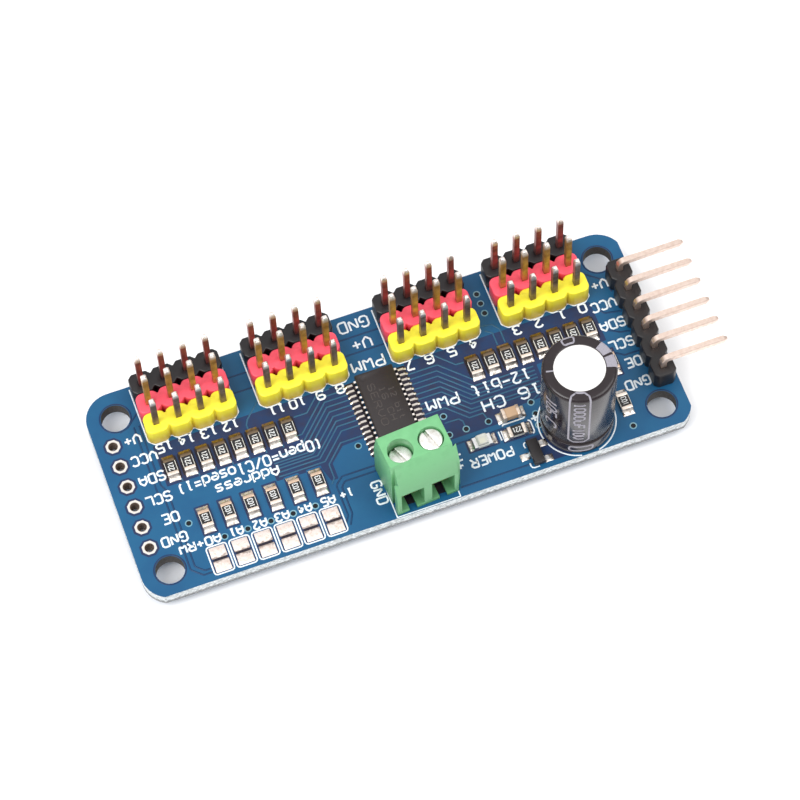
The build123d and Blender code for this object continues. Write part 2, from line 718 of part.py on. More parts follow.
def main():
    """Build every piece and write it to its own file."""
    os.makedirs("parts", exist_ok=True)
    save("circuit_board", circuit_board())
    save("breakout_pads", breakout_pads())
    save("address_pads", address_pads())
    for number, x in enumerate(GROUP_X, start=1):
        for row in ROW_Y:
            save(f"servo_header_{number}_{row}_housing", servo_housing(row, x))
            save(f"servo_header_{number}_{row}_pins", servo_pins(row, x))
    save("control_header_housing", control_housing())
    save("control_header_pins", control_pins())
    save("terminal_housing", terminal_housing())
    for side in SCREWS:
        save(f"{side}_terminal_contact", terminal_contact(side))
        save(f"{side}_terminal_screw", terminal_screw(side))
        save(f"{side}_clamp_plate", clamp_plate(side))
    save("capacitor_sleeve", capacitor_sleeve())
    save("capacitor_can", capacitor_can())
    save("capacitor_bung", capacitor_bung())
    save("capacitor_leads", capacitor_leads())
    save("capacitor_winding", capacitor_winding())
    save("driver_chip_body", driver_chip_body())
    save("driver_chip_leads", driver_chip_leads())
    save("series_resistor_bodies", at_series_resistors([chip_core(SMD_H)]))
    save("series_resistor_glaze", at_series_resistors([resistor_glaze()]))
    save("series_resistor_ends", at_series_resistors(chip_ends(SMD_H)))
    save("pull_resistor_bodies", at_pull_resistors([chip_core(SMD_H)]))
    save("pull_resistor_glaze", at_pull_resistors([resistor_glaze()]))
    save("pull_resistor_ends", at_pull_resistors(chip_ends(SMD_H)))
    save("ceramic_capacitor_body", lying(CERAMIC_AT, chip_core(CERAMIC_H)))
    save("ceramic_capacitor_ends", [lying(CERAMIC_AT, end) for end in chip_ends(CERAMIC_H)])
    save("power_lamp_base", lamp_base())
    save("power_lamp_lens", lamp_lens())
    save("power_lamp_ends", lamp_ends())
    save("transistor_body", transistor_body())
    save("transistor_leads", transistor_leads())
    save("surface_solder", surface_solder())
    save("through_hole_solder", header_joints() + terminal_joints() + capacitor_joints())


main()
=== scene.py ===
"""Looks of the sixteen-channel servo driver board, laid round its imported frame.

Lengths are in metres. The origin is the middle of the four mounting holes on the board's
underside; +X points to the control header, +Y to the servo headers and +Z out of the parts side.
"""

import logging
import random
from dataclasses import dataclass, field
from enum import Enum
from math import cos, pi, radians, sin
from typing import Iterable, Sequence, Union

import bmesh
import bpy
from mathutils import Matrix, Vector


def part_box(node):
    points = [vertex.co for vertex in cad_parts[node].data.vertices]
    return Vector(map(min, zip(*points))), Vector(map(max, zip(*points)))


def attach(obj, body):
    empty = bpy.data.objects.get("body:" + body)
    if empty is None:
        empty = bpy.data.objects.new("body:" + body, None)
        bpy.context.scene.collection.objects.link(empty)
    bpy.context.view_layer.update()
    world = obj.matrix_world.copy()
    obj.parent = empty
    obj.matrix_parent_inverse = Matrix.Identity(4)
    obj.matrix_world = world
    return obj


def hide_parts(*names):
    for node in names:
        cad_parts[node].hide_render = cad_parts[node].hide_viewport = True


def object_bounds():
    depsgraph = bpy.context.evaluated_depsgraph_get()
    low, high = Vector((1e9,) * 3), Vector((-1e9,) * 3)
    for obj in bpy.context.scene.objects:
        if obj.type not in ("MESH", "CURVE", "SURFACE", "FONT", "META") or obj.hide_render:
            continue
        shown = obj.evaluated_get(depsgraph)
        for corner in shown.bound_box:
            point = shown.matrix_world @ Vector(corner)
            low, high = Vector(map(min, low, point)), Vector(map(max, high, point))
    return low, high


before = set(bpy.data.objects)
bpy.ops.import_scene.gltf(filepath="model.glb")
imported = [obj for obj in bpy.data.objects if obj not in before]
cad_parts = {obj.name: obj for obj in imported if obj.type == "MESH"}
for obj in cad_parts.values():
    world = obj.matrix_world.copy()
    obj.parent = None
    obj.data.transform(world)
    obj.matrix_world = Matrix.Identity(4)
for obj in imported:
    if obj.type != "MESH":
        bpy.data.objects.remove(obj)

CAD_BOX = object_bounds()
LOG = logging.getLogger("servo_board")
MM = 0.001
STEP = 0.001 * MM  # rise between ribbons that cross
LEVELS = 7  # rises before the ribbons start again
BODY = "board"
SAME_POINT = 1e-6  # corners nearer than this are one
ON_AXIS = 1e-7  # a smaller radius is a point on the axis
FLAT_TURN = 0.5  # degrees; faces that turn less are one flat face
SHARP_TURN = 30.0  # degrees; edges that turn more are rounded

Point = tuple[float, float]
Spot = tuple[float, float, float, float, float]
Colour = tuple[float, float, float, float]
Reading = Union["Socket", float, tuple]
Tone = Union["Socket", str]


def linear(code: str) -> Colour:
    """Turn an sRGB colour code into a linear colour.

    Args:
        code: six hexadecimal digits after a hash sign.

    Returns:
        Red, green, blue and an alpha of one.
    """
    parts = [int(code[i:i + 2], 16) / 255 for i in (1, 3, 5)]
    low, knee = 12.92, 0.04045
    red, green, blue = [c / low if c <= knee else ((c + 0.055) / 1.055) ** 2.4 for c in parts]
    return red, green, blue, 1.0


class Slot(Enum):
    """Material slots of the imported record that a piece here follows."""

    MASK = "solder_mask"
    PAD = "tinned_pad"
    BLACK = "black_plastic"
    YELLOW = "yellow_plastic"
    RED = "red_plastic"
    GREEN = "green_plastic"
    WHITE = "white_plastic"
    PIN = "plated_pin"
    SCREW = "zinc_screw"
    SLEEVE = "sleeve"
    EPOXY = "chip_epoxy"
    CERAMIC = "white_ceramic"
    GLAZE = "resistor_glaze"
    END = "end_metal"
    BROWN = "brown_ceramic"
    LENS = "clear_lens"
    SOLDER = "solder"


# --- node trees ------------------------------------------------------------------------------
class Socket:
    """One output in a node tree; arithmetic on it adds Math nodes."""

    def __init__(self, graph: "Graph", source: bpy.types.NodeSocket) -> None:
        """Wrap an output of a node in a graph."""
        self.graph = graph
        self.source = source

    def _maths(self, operation: str, *values: Reading) -> "Socket":
        """Add one Math node with this operation on the values."""
        settings = {"operation": operation}
        return self.graph.node("ShaderNodeMath", settings, dict(enumerate(values)))[0]

    def __add__(self, other: Reading) -> "Socket":
        """Sum of two readings."""
        return self._maths("ADD", self, other)

    __radd__ = __add__

    def __sub__(self, other: Reading) -> "Socket":
        """This reading less the other."""
        return self._maths("SUBTRACT", self, other)

    def __rsub__(self, other: Reading) -> "Socket":
        """The other reading less this one."""
        return self._maths("SUBTRACT", other, self)

    def __mul__(self, other: Reading) -> "Socket":
        """Product of two readings."""
        return self._maths("MULTIPLY", self, other)

    __rmul__ = __mul__

    def __gt__(self, other: Reading) -> "Socket":
        """One where this reading is above the other."""
        return self._maths("GREATER_THAN", self, other)

    def __lt__(self, other: Reading) -> "Socket":
        """One where this reading is below the other."""
        return self._maths("LESS_THAN", self, other)

    def high(self, other: Reading) -> "Socket":
        """The larger of two readings."""
        return self._maths("MAXIMUM", self, other)

    def size(self) -> "Socket":
        """The reading without its sign."""
        return self._maths("ABSOLUTE", self)

    def wave(self) -> "Socket":
        """Sine of the reading."""
        return self._maths("SINE", self)


class Made:
    """A node just made; its outputs are read by name or place."""

    def __init__(self, graph: "Graph", node: bpy.types.Node) -> None:
        """Wrap a node of a graph."""
        self.graph = graph
        self.node = node

    def __getitem__(self, key: Union[str, int]) -> Socket:
        """One output of the node."""
        return Socket(self.graph, self.node.outputs[key])


class Graph:
    """A node tree that is filled node by node."""

    def __init__(self, tree: bpy.types.NodeTree) -> None:
        """Wrap a node tree."""
        self.tree = tree

    def node(self, kind: str, settings: dict | None = None, inputs: dict | None = None) -> Made:
        """Add one node.

        Args:
            kind: the node's type.
            settings: its properties; "stops" gives a ramp's places and colours.
            inputs: values or sockets for its inputs, by name or place.

        Returns:
            The node, with its outputs ready to read.
        """
        node = self.tree.nodes.new(kind)
        for name, value in (settings or {}).items():
            if name == "stops":
                self._ramp(node.color_ramp, value)
            else:
                setattr(node, name, value)
        for key, value in (inputs or {}).items():
            target = node.inputs[key]
            if isinstance(value, Socket):
                self.tree.links.new(value.source, target)
            else:
                target.default_value = value
        return Made(self, node)

    @staticmethod
    def _ramp(ramp: bpy.types.ColorRamp, stops: Sequence[tuple[float, Colour]]) -> None:
        """Give a colour ramp its stops.

        Args:
            ramp: the ramp to fill.
            stops: place and colour of each stop.
        """
        while len(ramp.elements) < len(stops):
            ramp.elements.new(0.5)
        for element, (place, colour) in zip(ramp.elements, stops):
            element.position = place
            element.color = colour

    def place(self) -> Socket:
        """The point on the piece, in its own coordinates."""
        return self.node("ShaderNodeTexCoord")["Object"]

    def along(self, axis: str) -> Socket:
        """One coordinate of the point on the piece: "X", "Y" or "Z"."""
        return self.node("ShaderNodeSeparateXYZ", inputs={"Vector": self.place()})[axis]

    def stretched(self, scale: tuple) -> Socket:
        """The point on the piece with each axis scaled."""
        return self.node("ShaderNodeMapping", inputs={"Vector": self.place(), "Scale": scale})[0]

    def noise(self, cell: float, detail: float = 3.0, at: Socket | None = None) -> Socket:
        """Soft noise between zero and one.

        Args:
            cell: size of its cells in metres, or in the units of at.
            detail: number of finer layers.
            at: the point to read it at, the piece's own point if not given.

        Returns:
            The noise.
        """
        inputs = {"Vector": at or self.place(), "Scale": 1 / cell, "Detail": detail}
        return self.node("ShaderNodeTexNoise", inputs=inputs)["Fac"]

    def band(self, reading: Socket, low: float, high: float) -> Socket:
        """A reading spread so that low becomes zero and high becomes one."""
        inputs = {"Value": reading, "From Min": low, "From Max": high}
        return self.node("ShaderNodeMapRange", inputs=inputs)["Result"]

    def mix(self, share: Reading, first: Tone, second: Tone) -> Socket:
        """A blend of two colours, each a socket or a colour code."""
        ends = [linear(tone) if isinstance(tone, str) else tone for tone in (first, second)]
        inputs = {0: share, 6: ends[0], 7: ends[1]}
        return self.node("ShaderNodeMix", {"data_type": "RGBA"}, inputs)[2]

    def bump(self, height: Socket, depth: float, strength: float = 1.0) -> Socket:
        """A normal bent by a height of this depth in metres."""
        inputs = {"Height": height, "Distance": depth, "Strength": strength}
        return self.node("ShaderNodeBump", inputs=inputs)["Normal"]

    def principled(self, inputs: dict) -> Socket:
        """The surface shader with these inputs."""
        return self.node("ShaderNodeBsdfPrincipled", inputs=inputs)["BSDF"]


# --- finishes --------------------------------------------------------------------------------
@dataclass(frozen=True)
class Finish:
    """Base of all finishes: a name and a material made once."""

    name: str

    def surface(self, graph: Graph) -> Socket:
        """Build the finish's shader; each finish has its own.

        Args:
            graph: the material's tree, still empty.

        Returns:
            The shader.
        """
        raise NotImplementedError

    def material(self) -> bpy.types.Material:
        """The finish's material, made the first time it is asked for."""
        found = bpy.data.materials.get(self.name)
        if found:
            return found
        made = bpy.data.materials.new(self.name)
        made.use_nodes = True
        made.node_tree.nodes.clear()
        graph = Graph(made.node_tree)
        graph.node("ShaderNodeOutputMaterial", inputs={"Surface": self.surface(graph)})
        return made


@dataclass(frozen=True)
class MaskedLaminate(Finish):
    """Coloured mask over copper on both faces, and the sawn or drilled glass cloth between."""

    mask: str
    tint: str
    fibre: str
    resin: str
    # colour of the painted shade low on the sawn edge and on the mounting hole walls
    char: str
    top: float
    hole: Point
    hole_radius: float = 1.75 * MM
    skin: float = 0.012 * MM

    def _bored(self, graph: Graph) -> Socket:
        """Find the walls of the four mounting holes, which get painted shade.

        Args:
            graph: the material's tree.

        Returns:
            Nearly one on the walls, zero elsewhere.
        """
        at = graph.node("ShaderNodeSeparateXYZ", inputs={"Vector": graph.place()})
        across, along = at["X"].size() - self.hole[0], at["Y"].size() - self.hole[1]
        reach = across * across + along * along
        return (reach < self.hole_radius ** 2) * 0.93

    def surface(self, graph: Graph) -> Socket:
        """Mask where the height is at a face, cloth elsewhere, with painted shade low on the
        cloth.
        """
        height = graph.along("Z")
        face = (height > self.top - self.skin) + (height < self.skin)
        patches = graph.band(graph.noise(3.2 * MM, 2.0), 0.35, 0.75)
        mask = graph.mix(patches, self.mask, self.tint)
        plies = graph.noise(1.0, 4.0, graph.stretched((3600, 3600, 9000)))
        cloth = graph.mix(graph.band(plies, 0.38, 0.62), self.resin, self.fibre)
        # painted shade: the cloth darkens towards the underside and on the mounting hole walls
        low = graph.band(height + (plies - 0.5) * 0.0008, 0.62 * MM, 0.4 * MM) * 0.62
        cloth = graph.mix(low.high(self._bored(graph)), cloth, self.char)
        rough = graph.band(graph.noise(0.5 * MM), 0.0, 1.0) * 0.12
        weave = graph.noise(0.16 * MM, 2.0) * face + plies * (1 - face) * 6.0
        return graph.principled({
            "Base Color": graph.mix(face, cloth, mask),
            "Roughness": 0.85 - face * 0.55 + rough,
            "Normal": graph.bump(weave, 0.006 * MM, 0.6),
            "Specular IOR Level": 0.32,
        })


@dataclass(frozen=True)
class MaskFilm(Finish):
    """Glossy coloured mask over one kind of ground."""

    colour: str
    tint: str
    roughness: float = 0.3

    def surface(self, graph: Graph) -> Socket:
        """Colour that drifts a little, with a faint ripple."""
        drift = graph.band(graph.noise(1.6 * MM, 3.0), 0.35, 0.7)
        return graph.principled({
            "Base Color": graph.mix(drift, self.colour, self.tint),
            "Roughness": graph.noise(0.4 * MM) * 0.12 + self.roughness,
            "Normal": graph.bump(graph.noise(0.12 * MM, 2.0), 0.003 * MM, 0.5),
            "Specular IOR Level": 0.32,
        })


@dataclass(frozen=True)
class PrintedInk(Finish):
    """Thin printed ink with a slightly worn, grainy lay."""

    colour: str
    thin: str
    roughness: float = 0.55

    def surface(self, graph: Graph) -> Socket:
        """Ink that is thinner in places."""
        worn = graph.band(graph.noise(0.12 * MM, 4.0), 0.52, 0.78)
        return graph.principled({
            "Base Color": graph.mix(worn, self.colour, self.thin),
            "Roughness": worn * 0.2 + self.roughness,
            "Normal": graph.bump(graph.noise(0.06 * MM), 0.004 * MM, 0.6),
        })


@dataclass(frozen=True)
class MouldedPlastic(Finish):
    """Moulded plastic: drifting colour, painted shade at the foot, fine grain and a few rubbed
    spots.
    """

    colour: str
    # colour of the random drift and of the painted shade at the foot
    deep: str
    roughness: float = 0.42
    grain: float = 0.09 * MM
    depth: float = 0.006 * MM
    # painted shade is full at the first height and gone at the second
    foot: tuple[float, float] = (1.6 * MM, 3.4 * MM)
    foot_share: float = 0.35

    def shade(self, graph: Graph, low: Socket) -> Socket:
        """The painted shade share of the colour; plain mouldings get painted shade at the foot
        only.
        """
        return low

    def surface(self, graph: Graph) -> Socket:
        """Colour by painted shade over height and by drift, roughness and relief by grain."""
        height = graph.along("Z")
        # painted shade: darker towards the board
        foot = graph.band(height, self.foot[1], self.foot[0]) * self.foot_share
        low = self.shade(graph, foot)
        drift = graph.band(graph.noise(0.9 * MM, 3.0), 0.4, 0.8) * 0.22
        grain = graph.noise(self.grain, 3.0)
        flow = graph.noise(1.0, 2.0, graph.stretched((350, 350, 1500)))
        return graph.principled({
            "Base Color": graph.mix(low.high(drift), self.colour, self.deep),
            "Roughness": grain * 0.16 + flow * 0.1 + (self.roughness - 0.13),
            "Normal": graph.bump(grain + flow * 0.6, self.depth, 0.7),
        })


@dataclass(frozen=True)
class BoredPlastic(MouldedPlastic):
    """Moulded plastic with painted shade down its upright wells."""

    axes: tuple[Point, ...] = ()
    bore: float = 1.44 * MM
    mouth: float = 9.95 * MM

    def _down_a_well(self, graph: Graph) -> Socket:
        """Find how far down a well the point lies, for the painted shade there.

        Args:
            graph: the material's tree.

        Returns:
            From zero at the mouth to a little over a half.
        """
        at = graph.node("ShaderNodeSeparateXYZ", inputs={"Vector": graph.place()})
        inside = None
        for x, y in self.axes:
            across, along = at["X"] - x, at["Y"] - y
            near = (across * across + along * along) < self.bore ** 2
            inside = near if inside is None else inside.high(near)
        return inside * graph.band(at["Z"], self.mouth, self.mouth - 2.2 * MM) * 0.6

    def shade(self, graph: Graph, low: Socket) -> Socket:
        """The painted shade share, wells included."""
        return low.high(self._down_a_well(graph))


@dataclass(frozen=True)
class WornMetal(Finish):
    """Plated or tinned metal: patches of dull tarnish, drawn lines and small dents."""

    colour: str
    dull: str
    roughness: float = 0.22
    lines: tuple[float, float, float] = (3000, 3000, 500)
    metal: float = 1.0
    depth: float = 0.004 * MM
    spread: tuple[float, float] = (0.45, 0.75)

    def surface(self, graph: Graph) -> Socket:
        """Colour and gloss by tarnish, relief by drawn lines."""
        tarnish = graph.band(graph.noise(0.45 * MM, 4.0), *self.spread)
        drawn = graph.noise(1.0, 3.0, graph.stretched(self.lines))
        return graph.principled({
            "Base Color": graph.mix(tarnish, self.colour, self.dull),
            "Metallic": self.metal,
            "Roughness": tarnish * 0.2 + drawn * 0.1 + (self.roughness - 0.08),
            "Normal": graph.bump(drawn + graph.noise(0.3 * MM) * 1.5, self.depth, 0.7),
        })


@dataclass(frozen=True)
class GullWing(Finish):
    """Tinned gull-wing leads: bright knees and feet, slopes darkened by painted shade."""

    colour: str
    # colour of the painted shade on the slopes
    stain: str
    low: float
    high: float
    soft: float = 0.05 * MM

    def surface(self, graph: Graph) -> Socket:
        """Colour and gloss by height."""
        height = graph.along("Z")
        above = graph.band(height, self.low - self.soft, self.low + self.soft)
        under = graph.band(height, self.high + self.soft, self.high - self.soft)
        # painted shade on the slopes between foot and knee
        slope = above * under
        drift = graph.noise(0.25 * MM, 3.0)
        return graph.principled({
            "Base Color": graph.mix(slope, self.colour, self.stain),
            "Metallic": 1.0 - slope * 0.7,
            "Roughness": slope * 0.3 + drift * 0.12 + 0.16,
            "Normal": graph.bump(drift, 0.004 * MM, 0.5),
        })


@dataclass(frozen=True)
class CappedEnd(Finish):
    """Plated end caps of upright parts in one row: those past the middle line get painted shade.
    """

    colour: str
    # colour of the tarnish and of the painted shade on the far caps
    dull: str
    middle: float

    def surface(self, graph: Graph) -> Socket:
        """Colour by painted shade on the far side and by tarnish."""
        along = graph.along("Y")
        tarnish = graph.band(graph.noise(0.4 * MM, 4.0), 0.5, 0.8) * 0.45
        # painted shade: caps past the middle line take the dull colour
        share = (along > self.middle).high(tarnish)
        return graph.principled({
            "Base Color": graph.mix(share, self.colour, self.dull),
            "Metallic": 0.85,
            "Roughness": tarnish * 0.3 + 0.3,
            "Normal": graph.bump(graph.noise(0.2 * MM), 0.006 * MM, 0.6),
        })


@dataclass(frozen=True)
class SquarePin(Finish):
    """Drawn, plated post whose shaft is tinted by a painted reflection of its housing, with
    tarnish, and bright metal at the tip.
    """

    shaft: str
    shade: str
    tip: str
    tip_from: float
    fade: float = 0.35 * MM

    def surface(self, graph: Graph) -> Socket:
        """Colour by height and tarnish, faint drawn lines along the post."""
        height = graph.along("Z")
        drawn = graph.noise(1.0, 3.0, graph.stretched((2600, 2600, 160)))
        tarnish = graph.band(graph.noise(1.1 * MM, 3.0) + drawn * 0.3, 0.45, 0.85)
        # painted reflection: the shaft colours carry the housing's tint
        shaft = graph.mix(tarnish, self.shaft, self.shade)
        bright = graph.band(height, self.tip_from - self.fade, self.tip_from + self.fade)
        bright = bright.high(height < 0.0)
        return graph.principled({
            "Base Color": graph.mix(bright, shaft, self.tip),
            "Metallic": bright * 0.35 + 0.6,
            "Roughness": tarnish * 0.12 + drawn * 0.06 + 0.26,
            "Normal": graph.bump(drawn, 0.0012 * MM, 0.5),
        })


@dataclass(frozen=True)
class PooledSolder(Finish):
    """Bright solder with dull, grainy skin and dark flux specks."""

    colour: str
    dull: str
    flux: str
    roughness: float = 0.2
    seam: float | None = None
    seam_width: float = 0.55 * MM

    def surface(self, graph: Graph) -> Socket:
        """Colour by skin and specks, relief by two sizes of ripple."""
        skin = graph.band(graph.noise(0.35 * MM, 4.0), 0.42, 0.68)
        speck = graph.band(graph.noise(0.14 * MM, 2.0), 0.66, 0.74)
        if self.seam is not None:
            along = graph.along("Y")
            near = graph.band((along - self.seam).size(), self.seam_width, 0.12 * MM)
            blot = graph.band(graph.noise(0.5 * MM, 3.0) + near * 0.5, 0.68, 0.84)
            speck = speck.high(blot)
        colour = graph.mix(skin, self.colour, self.dull)
        ripple = graph.noise(0.45 * MM, 2.0) + graph.noise(0.09 * MM, 3.0) * 0.25
        return graph.principled({
            "Base Color": graph.mix(speck * 0.7, colour, self.flux),
            "Metallic": 1.0 - speck * 0.8,
            "Roughness": skin * 0.22 + self.roughness,
            "Normal": graph.bump(ripple, 0.05 * MM, 0.7),
        })


@dataclass(frozen=True)
class TurnedSteel(Finish):
    """Plated screw head with faint turning rings round its own axis."""

    colour: str
    dull: str
    axis: Point
    pitch: float = 0.07 * MM

    def surface(self, graph: Graph) -> Socket:
        """Rings from the distance to the axis."""
        centre = (-self.axis[0], -self.axis[1], 0.0)
        moved = graph.node("ShaderNodeMapping", inputs={"Vector": graph.place(),
                                                        "Location": centre})[0]
        flat = graph.node("ShaderNodeVectorMath", {"operation": "MULTIPLY"},
                          {0: moved, 1: (1.0, 1.0, 0.0)})[0]
        reach = graph.node("ShaderNodeVectorMath", {"operation": "LENGTH"}, {0: flat})["Value"]
        rings = (reach * (2 * pi / self.pitch)).wave()
        stain = graph.band(graph.noise(0.5 * MM, 4.0), 0.5, 0.8)
        return graph.principled({
            "Base Color": graph.mix(stain, self.colour, self.dull),
            "Metallic": 0.85,
            "Roughness": rings * 0.05 + stain * 0.15 + 0.3,
            "Normal": graph.bump(rings * 0.5 + graph.noise(0.2 * MM) * 1.5, 0.006 * MM, 0.7),
        })


@dataclass(frozen=True)
class ShrunkSleeve(Finish):
    """Glossy printed shrink sleeve with faint upright draw lines."""

    colour: str
    tint: str

    def surface(self, graph: Graph) -> Socket:
        """Dark film with a soft coat."""
        drawn = graph.noise(1.0, 2.0, graph.stretched((2200, 2200, 140)))
        return graph.principled({
            "Base Color": graph.mix(drawn, self.colour, self.tint),
            "Roughness": drawn * 0.12 + 0.16,
            "Coat Weight": 0.12,
            "Coat Roughness": 0.08,
            "Specular IOR Level": 0.4,
            "Normal": graph.bump(drawn + graph.noise(1.2 * MM) * 2.0, 0.012 * MM, 0.6),
        })


@dataclass(frozen=True)
class ClearResin(Finish):
    """Cloudy clear moulding."""

    colour: str

    def surface(self, graph: Graph) -> Socket:
        """Part clear, part milky."""
        cloud = graph.noise(0.3 * MM, 3.0)
        return graph.principled({
            "Base Color": graph.mix(cloud * 0.4, self.colour, "#ffffff"),
            "Roughness": cloud * 0.15 + 0.1,
            "Transmission Weight": 0.2,
            "IOR": 1.46,
            "Normal": graph.bump(cloud, 0.01 * MM, 0.5),
        })


@dataclass(frozen=True)
class StudioPaper(Finish):
    """Pale seamless paper."""

    colour: str

    def surface(self, graph: Graph) -> Socket:
        """Nearly white with a barely seen drift."""
        drift = graph.noise(0.05, 2.0) * 0.04
        return graph.principled({
            "Base Color": graph.mix(drift, self.colour, "#dfe4ea"),
            "Roughness": 0.9,
            "Specular IOR Level": 0.1,
        })


LAMINATE = MaskedLaminate("blue_masked_laminate", "#135079", "#185980", "#e8ecee", "#a8aeaf",
                          "#3d3835", 1.6 * MM, (27.94 * MM, 9.525 * MM))
MASK_BARE = MaskFilm("mask_over_bare_laminate", "#17325b", "#252b49")
MASK_GAP = MaskFilm("mask_in_pour_gaps", "#143f66", "#1c375c")
MASK_TRACK = MaskFilm("mask_over_tracks", "#2c5876", "#33627e")
# painted shade: a dark film laid where parts cast shade on the board
PAINTED_SHADE_FILM = MaskFilm("mask_under_leads", "#1a1a2c", "#281d22")
MASK_RING = MaskFilm("mask_over_via_rings", "#5f93a8", "#86abb4")
# painted shade: near-black discs over the via holes
VIA_HOLE_SHADE = MaskFilm("mask_over_via_mouths", "#07080c", "#0e1119", 0.2)
SILK = PrintedInk("white_legend_ink", "#eaf1f6", "#b9cbd8")
SLEEVE_INK = PrintedInk("pale_sleeve_ink", "#98959f", "#747180", 0.4)
CODE_INK = PrintedInk("resistor_code_ink", "#e4e6e6", "#a9adad")
ETCHED = PrintedInk("laser_marked_epoxy", "#4a4341", "#393332", 0.7)
# every moulding gets painted shade near the board from its foot settings
YELLOW = MouldedPlastic("yellow_moulding", "#fff23a", "#dfa31c", foot=(1.6 * MM, 3.7 * MM),
                        foot_share=0.75)
RED = MouldedPlastic("red_moulding", "#fb5569", "#8a101c", foot=(1.6 * MM, 3.6 * MM),
                     foot_share=0.8)
BLACK = MouldedPlastic("black_moulding", "#161013", "#0a0709", 0.38)
CONTROL_BLACK = MouldedPlastic("brown_black_moulding", "#151012", "#0a0708", 0.42)
EPOXY = MouldedPlastic("chip_moulding", "#2a2425", "#201b1b", 0.55, 0.05 * MM, 0.008 * MM,
                       (1.6 * MM, 2.0 * MM), 0.5)
BLACK_EPOXY = MouldedPlastic("transistor_moulding", "#191416", "#120e10", 0.5, 0.05 * MM,
                             0.008 * MM, (1.6 * MM, 2.0 * MM), 0.5)
WHITE = MouldedPlastic("white_moulding", "#f1f1ec", "#d3d2c8", 0.45)
CERAMIC = MouldedPlastic("alumina", "#e9e7df", "#c8c4b8", 0.6, 0.05 * MM)
BROWN = MouldedPlastic("brown_ceramic", "#80412a", "#5a2f1f", 0.55, 0.06 * MM, 0.008 * MM,
                       (1.6 * MM, 2.0 * MM), 0.5)
GLAZE = MouldedPlastic("black_glaze", "#141213", "#201d1e", 0.3, 0.07 * MM)
RUBBER = MouldedPlastic("black_rubber", "#222226", "#151517", 0.75)
CONTROL_PIN = WornMetal("plated_control_pin", "#f3dfd3", "#d9bfb0", 0.36, (90, 700, 700),
                        depth=0.0004 * MM, spread=(0.3, 0.9))
# the leads' slopes take painted shade
WINGS = GullWing("gull_wing_tin", "#fff6ee", "#241712", 1.8 * MM, 2.17 * MM, 0.03 * MM)
# the caps past each row's middle get painted shade
CAPPED = {"series": CappedEnd("series_end_caps", "#fbeee2", "#776653", 1.7 * MM),
          "pull": CappedEnd("pull_end_caps", "#fbeee2", "#d8bda6", -5.35 * MM)}
LEAD = WornMetal("tinned_lead", "#fbf4ee", "#b3a498", 0.26)
END = WornMetal("plated_end", "#efdccb", "#8d7760", 0.34, metal=0.8)
SHADED_SOLDER = PooledSolder("shaded_solder", "#b39a74", "#77603f", "#33251c", 0.3)
PAD = PooledSolder("tinned_pad", "#fbf1e9", "#dccdc1", "#7d6557", 0.28)
ADDRESS = PooledSolder("tinned_address_pad", "#fff2ec", "#e3d0c5", "#5b473c", 0.34, -10.17 * MM)
SOLDER = PooledSolder("bright_solder", "#fbf4ec", "#aaa098", "#4d4037", 0.24)
# tarnish and painted shade: the barrels are darkened for the shade inside the holes
TARNISH_AND_SHADE_BARREL = WornMetal("dull_barrel", "#8d7a6c", "#5a4b41", 0.6, metal=0.4)
BRASS = WornMetal("bent_brass", "#d9bd75", "#9c7f43", 0.3)
CLAMP = WornMetal("plated_plate", "#cfd0d2", "#8f8e8c", 0.35)
ALUMINIUM = WornMetal("drawn_aluminium", "#fffdfb", "#e4e2e0", 0.5, (900, 900, 900),
                      spread=(0.6, 0.8))
FOIL = WornMetal("rolled_foil", "#c8c9cc", "#9a9a9c", 0.5)
SLEEVE = ShrunkSleeve("dark_sleeve", "#1a1215", "#261c20")
LENS = ClearResin("clear_lens", "#fffdf3")
DIE = WornMetal("gilt_die", "#ecd98a", "#c9d6a0", 0.3)
PAPER = StudioPaper("studio_paper", "#fbfbfc")


# --- geometry trees --------------------------------------------------------------------------
class GeometryTree:
    """A geometry node tree with named inputs, run once on a piece and turned into plain mesh."""

    KINDS = {float: "NodeSocketFloat", int: "NodeSocketInt", "material": "NodeSocketMaterial",
             "object": "NodeSocketObject"}

    def __init__(self, name: str, inputs: dict[str, object]) -> None:
        """Start a tree.

        Args:
            name: name of the tree.
            inputs: kind of each input, by its name.
        """
        self.group = bpy.data.node_groups.new(name, "GeometryNodeTree")
        interface = self.group.interface
        interface.new_socket("Geometry", in_out="INPUT", socket_type="NodeSocketGeometry")
        for label, kind in inputs.items():
            interface.new_socket(label, in_out="INPUT", socket_type=self.KINDS[kind])
        interface.new_socket("Geometry", in_out="OUTPUT", socket_type="NodeSocketGeometry")
        self.graph = Graph(self.group)
        self.entry = self.graph.node("NodeGroupInput")

    def close(self, geometry: Socket) -> None:
        """End the tree: real geometry with the tree's material.

        Args:
            geometry: what the tree has built.
        """
        real = self.graph.node("GeometryNodeRealizeInstances", inputs={"Geometry": geometry})[0]
        dressed = self.graph.node("GeometryNodeSetMaterial", inputs={
            "Geometry": real, "Material": self.entry["Material"]})[0]
        self.graph.node("NodeGroupOutput", inputs={"Geometry": dressed})

    def run(self, source: bpy.types.Object, values: dict[str, object]) -> bpy.types.Object:
        """Run the tree on a source and return the result as a plain mesh piece.

        Args:
            source: object that holds the path or the points; it is used up.
            values: the tree's inputs, by name.

        Returns:
            A new piece with the source's name.
        """
        names = {item.name: item.identifier for item in self.group.interface.items_tree
                 if item.in_out == "INPUT"}
        modifier = source.modifiers.new("tree", "NODES")
        modifier.node_group = self.group
        for label, value in values.items():
            modifier[names[label]] = value
        depsgraph = bpy.context.evaluated_depsgraph_get()
        mesh = bpy.data.meshes.new_from_object(source.evaluated_get(depsgraph))
        name = source.name
        source.modifiers.remove(modifier)
        bpy.data.objects.remove(source)
        mesh.name = name
        return placed(name, mesh)


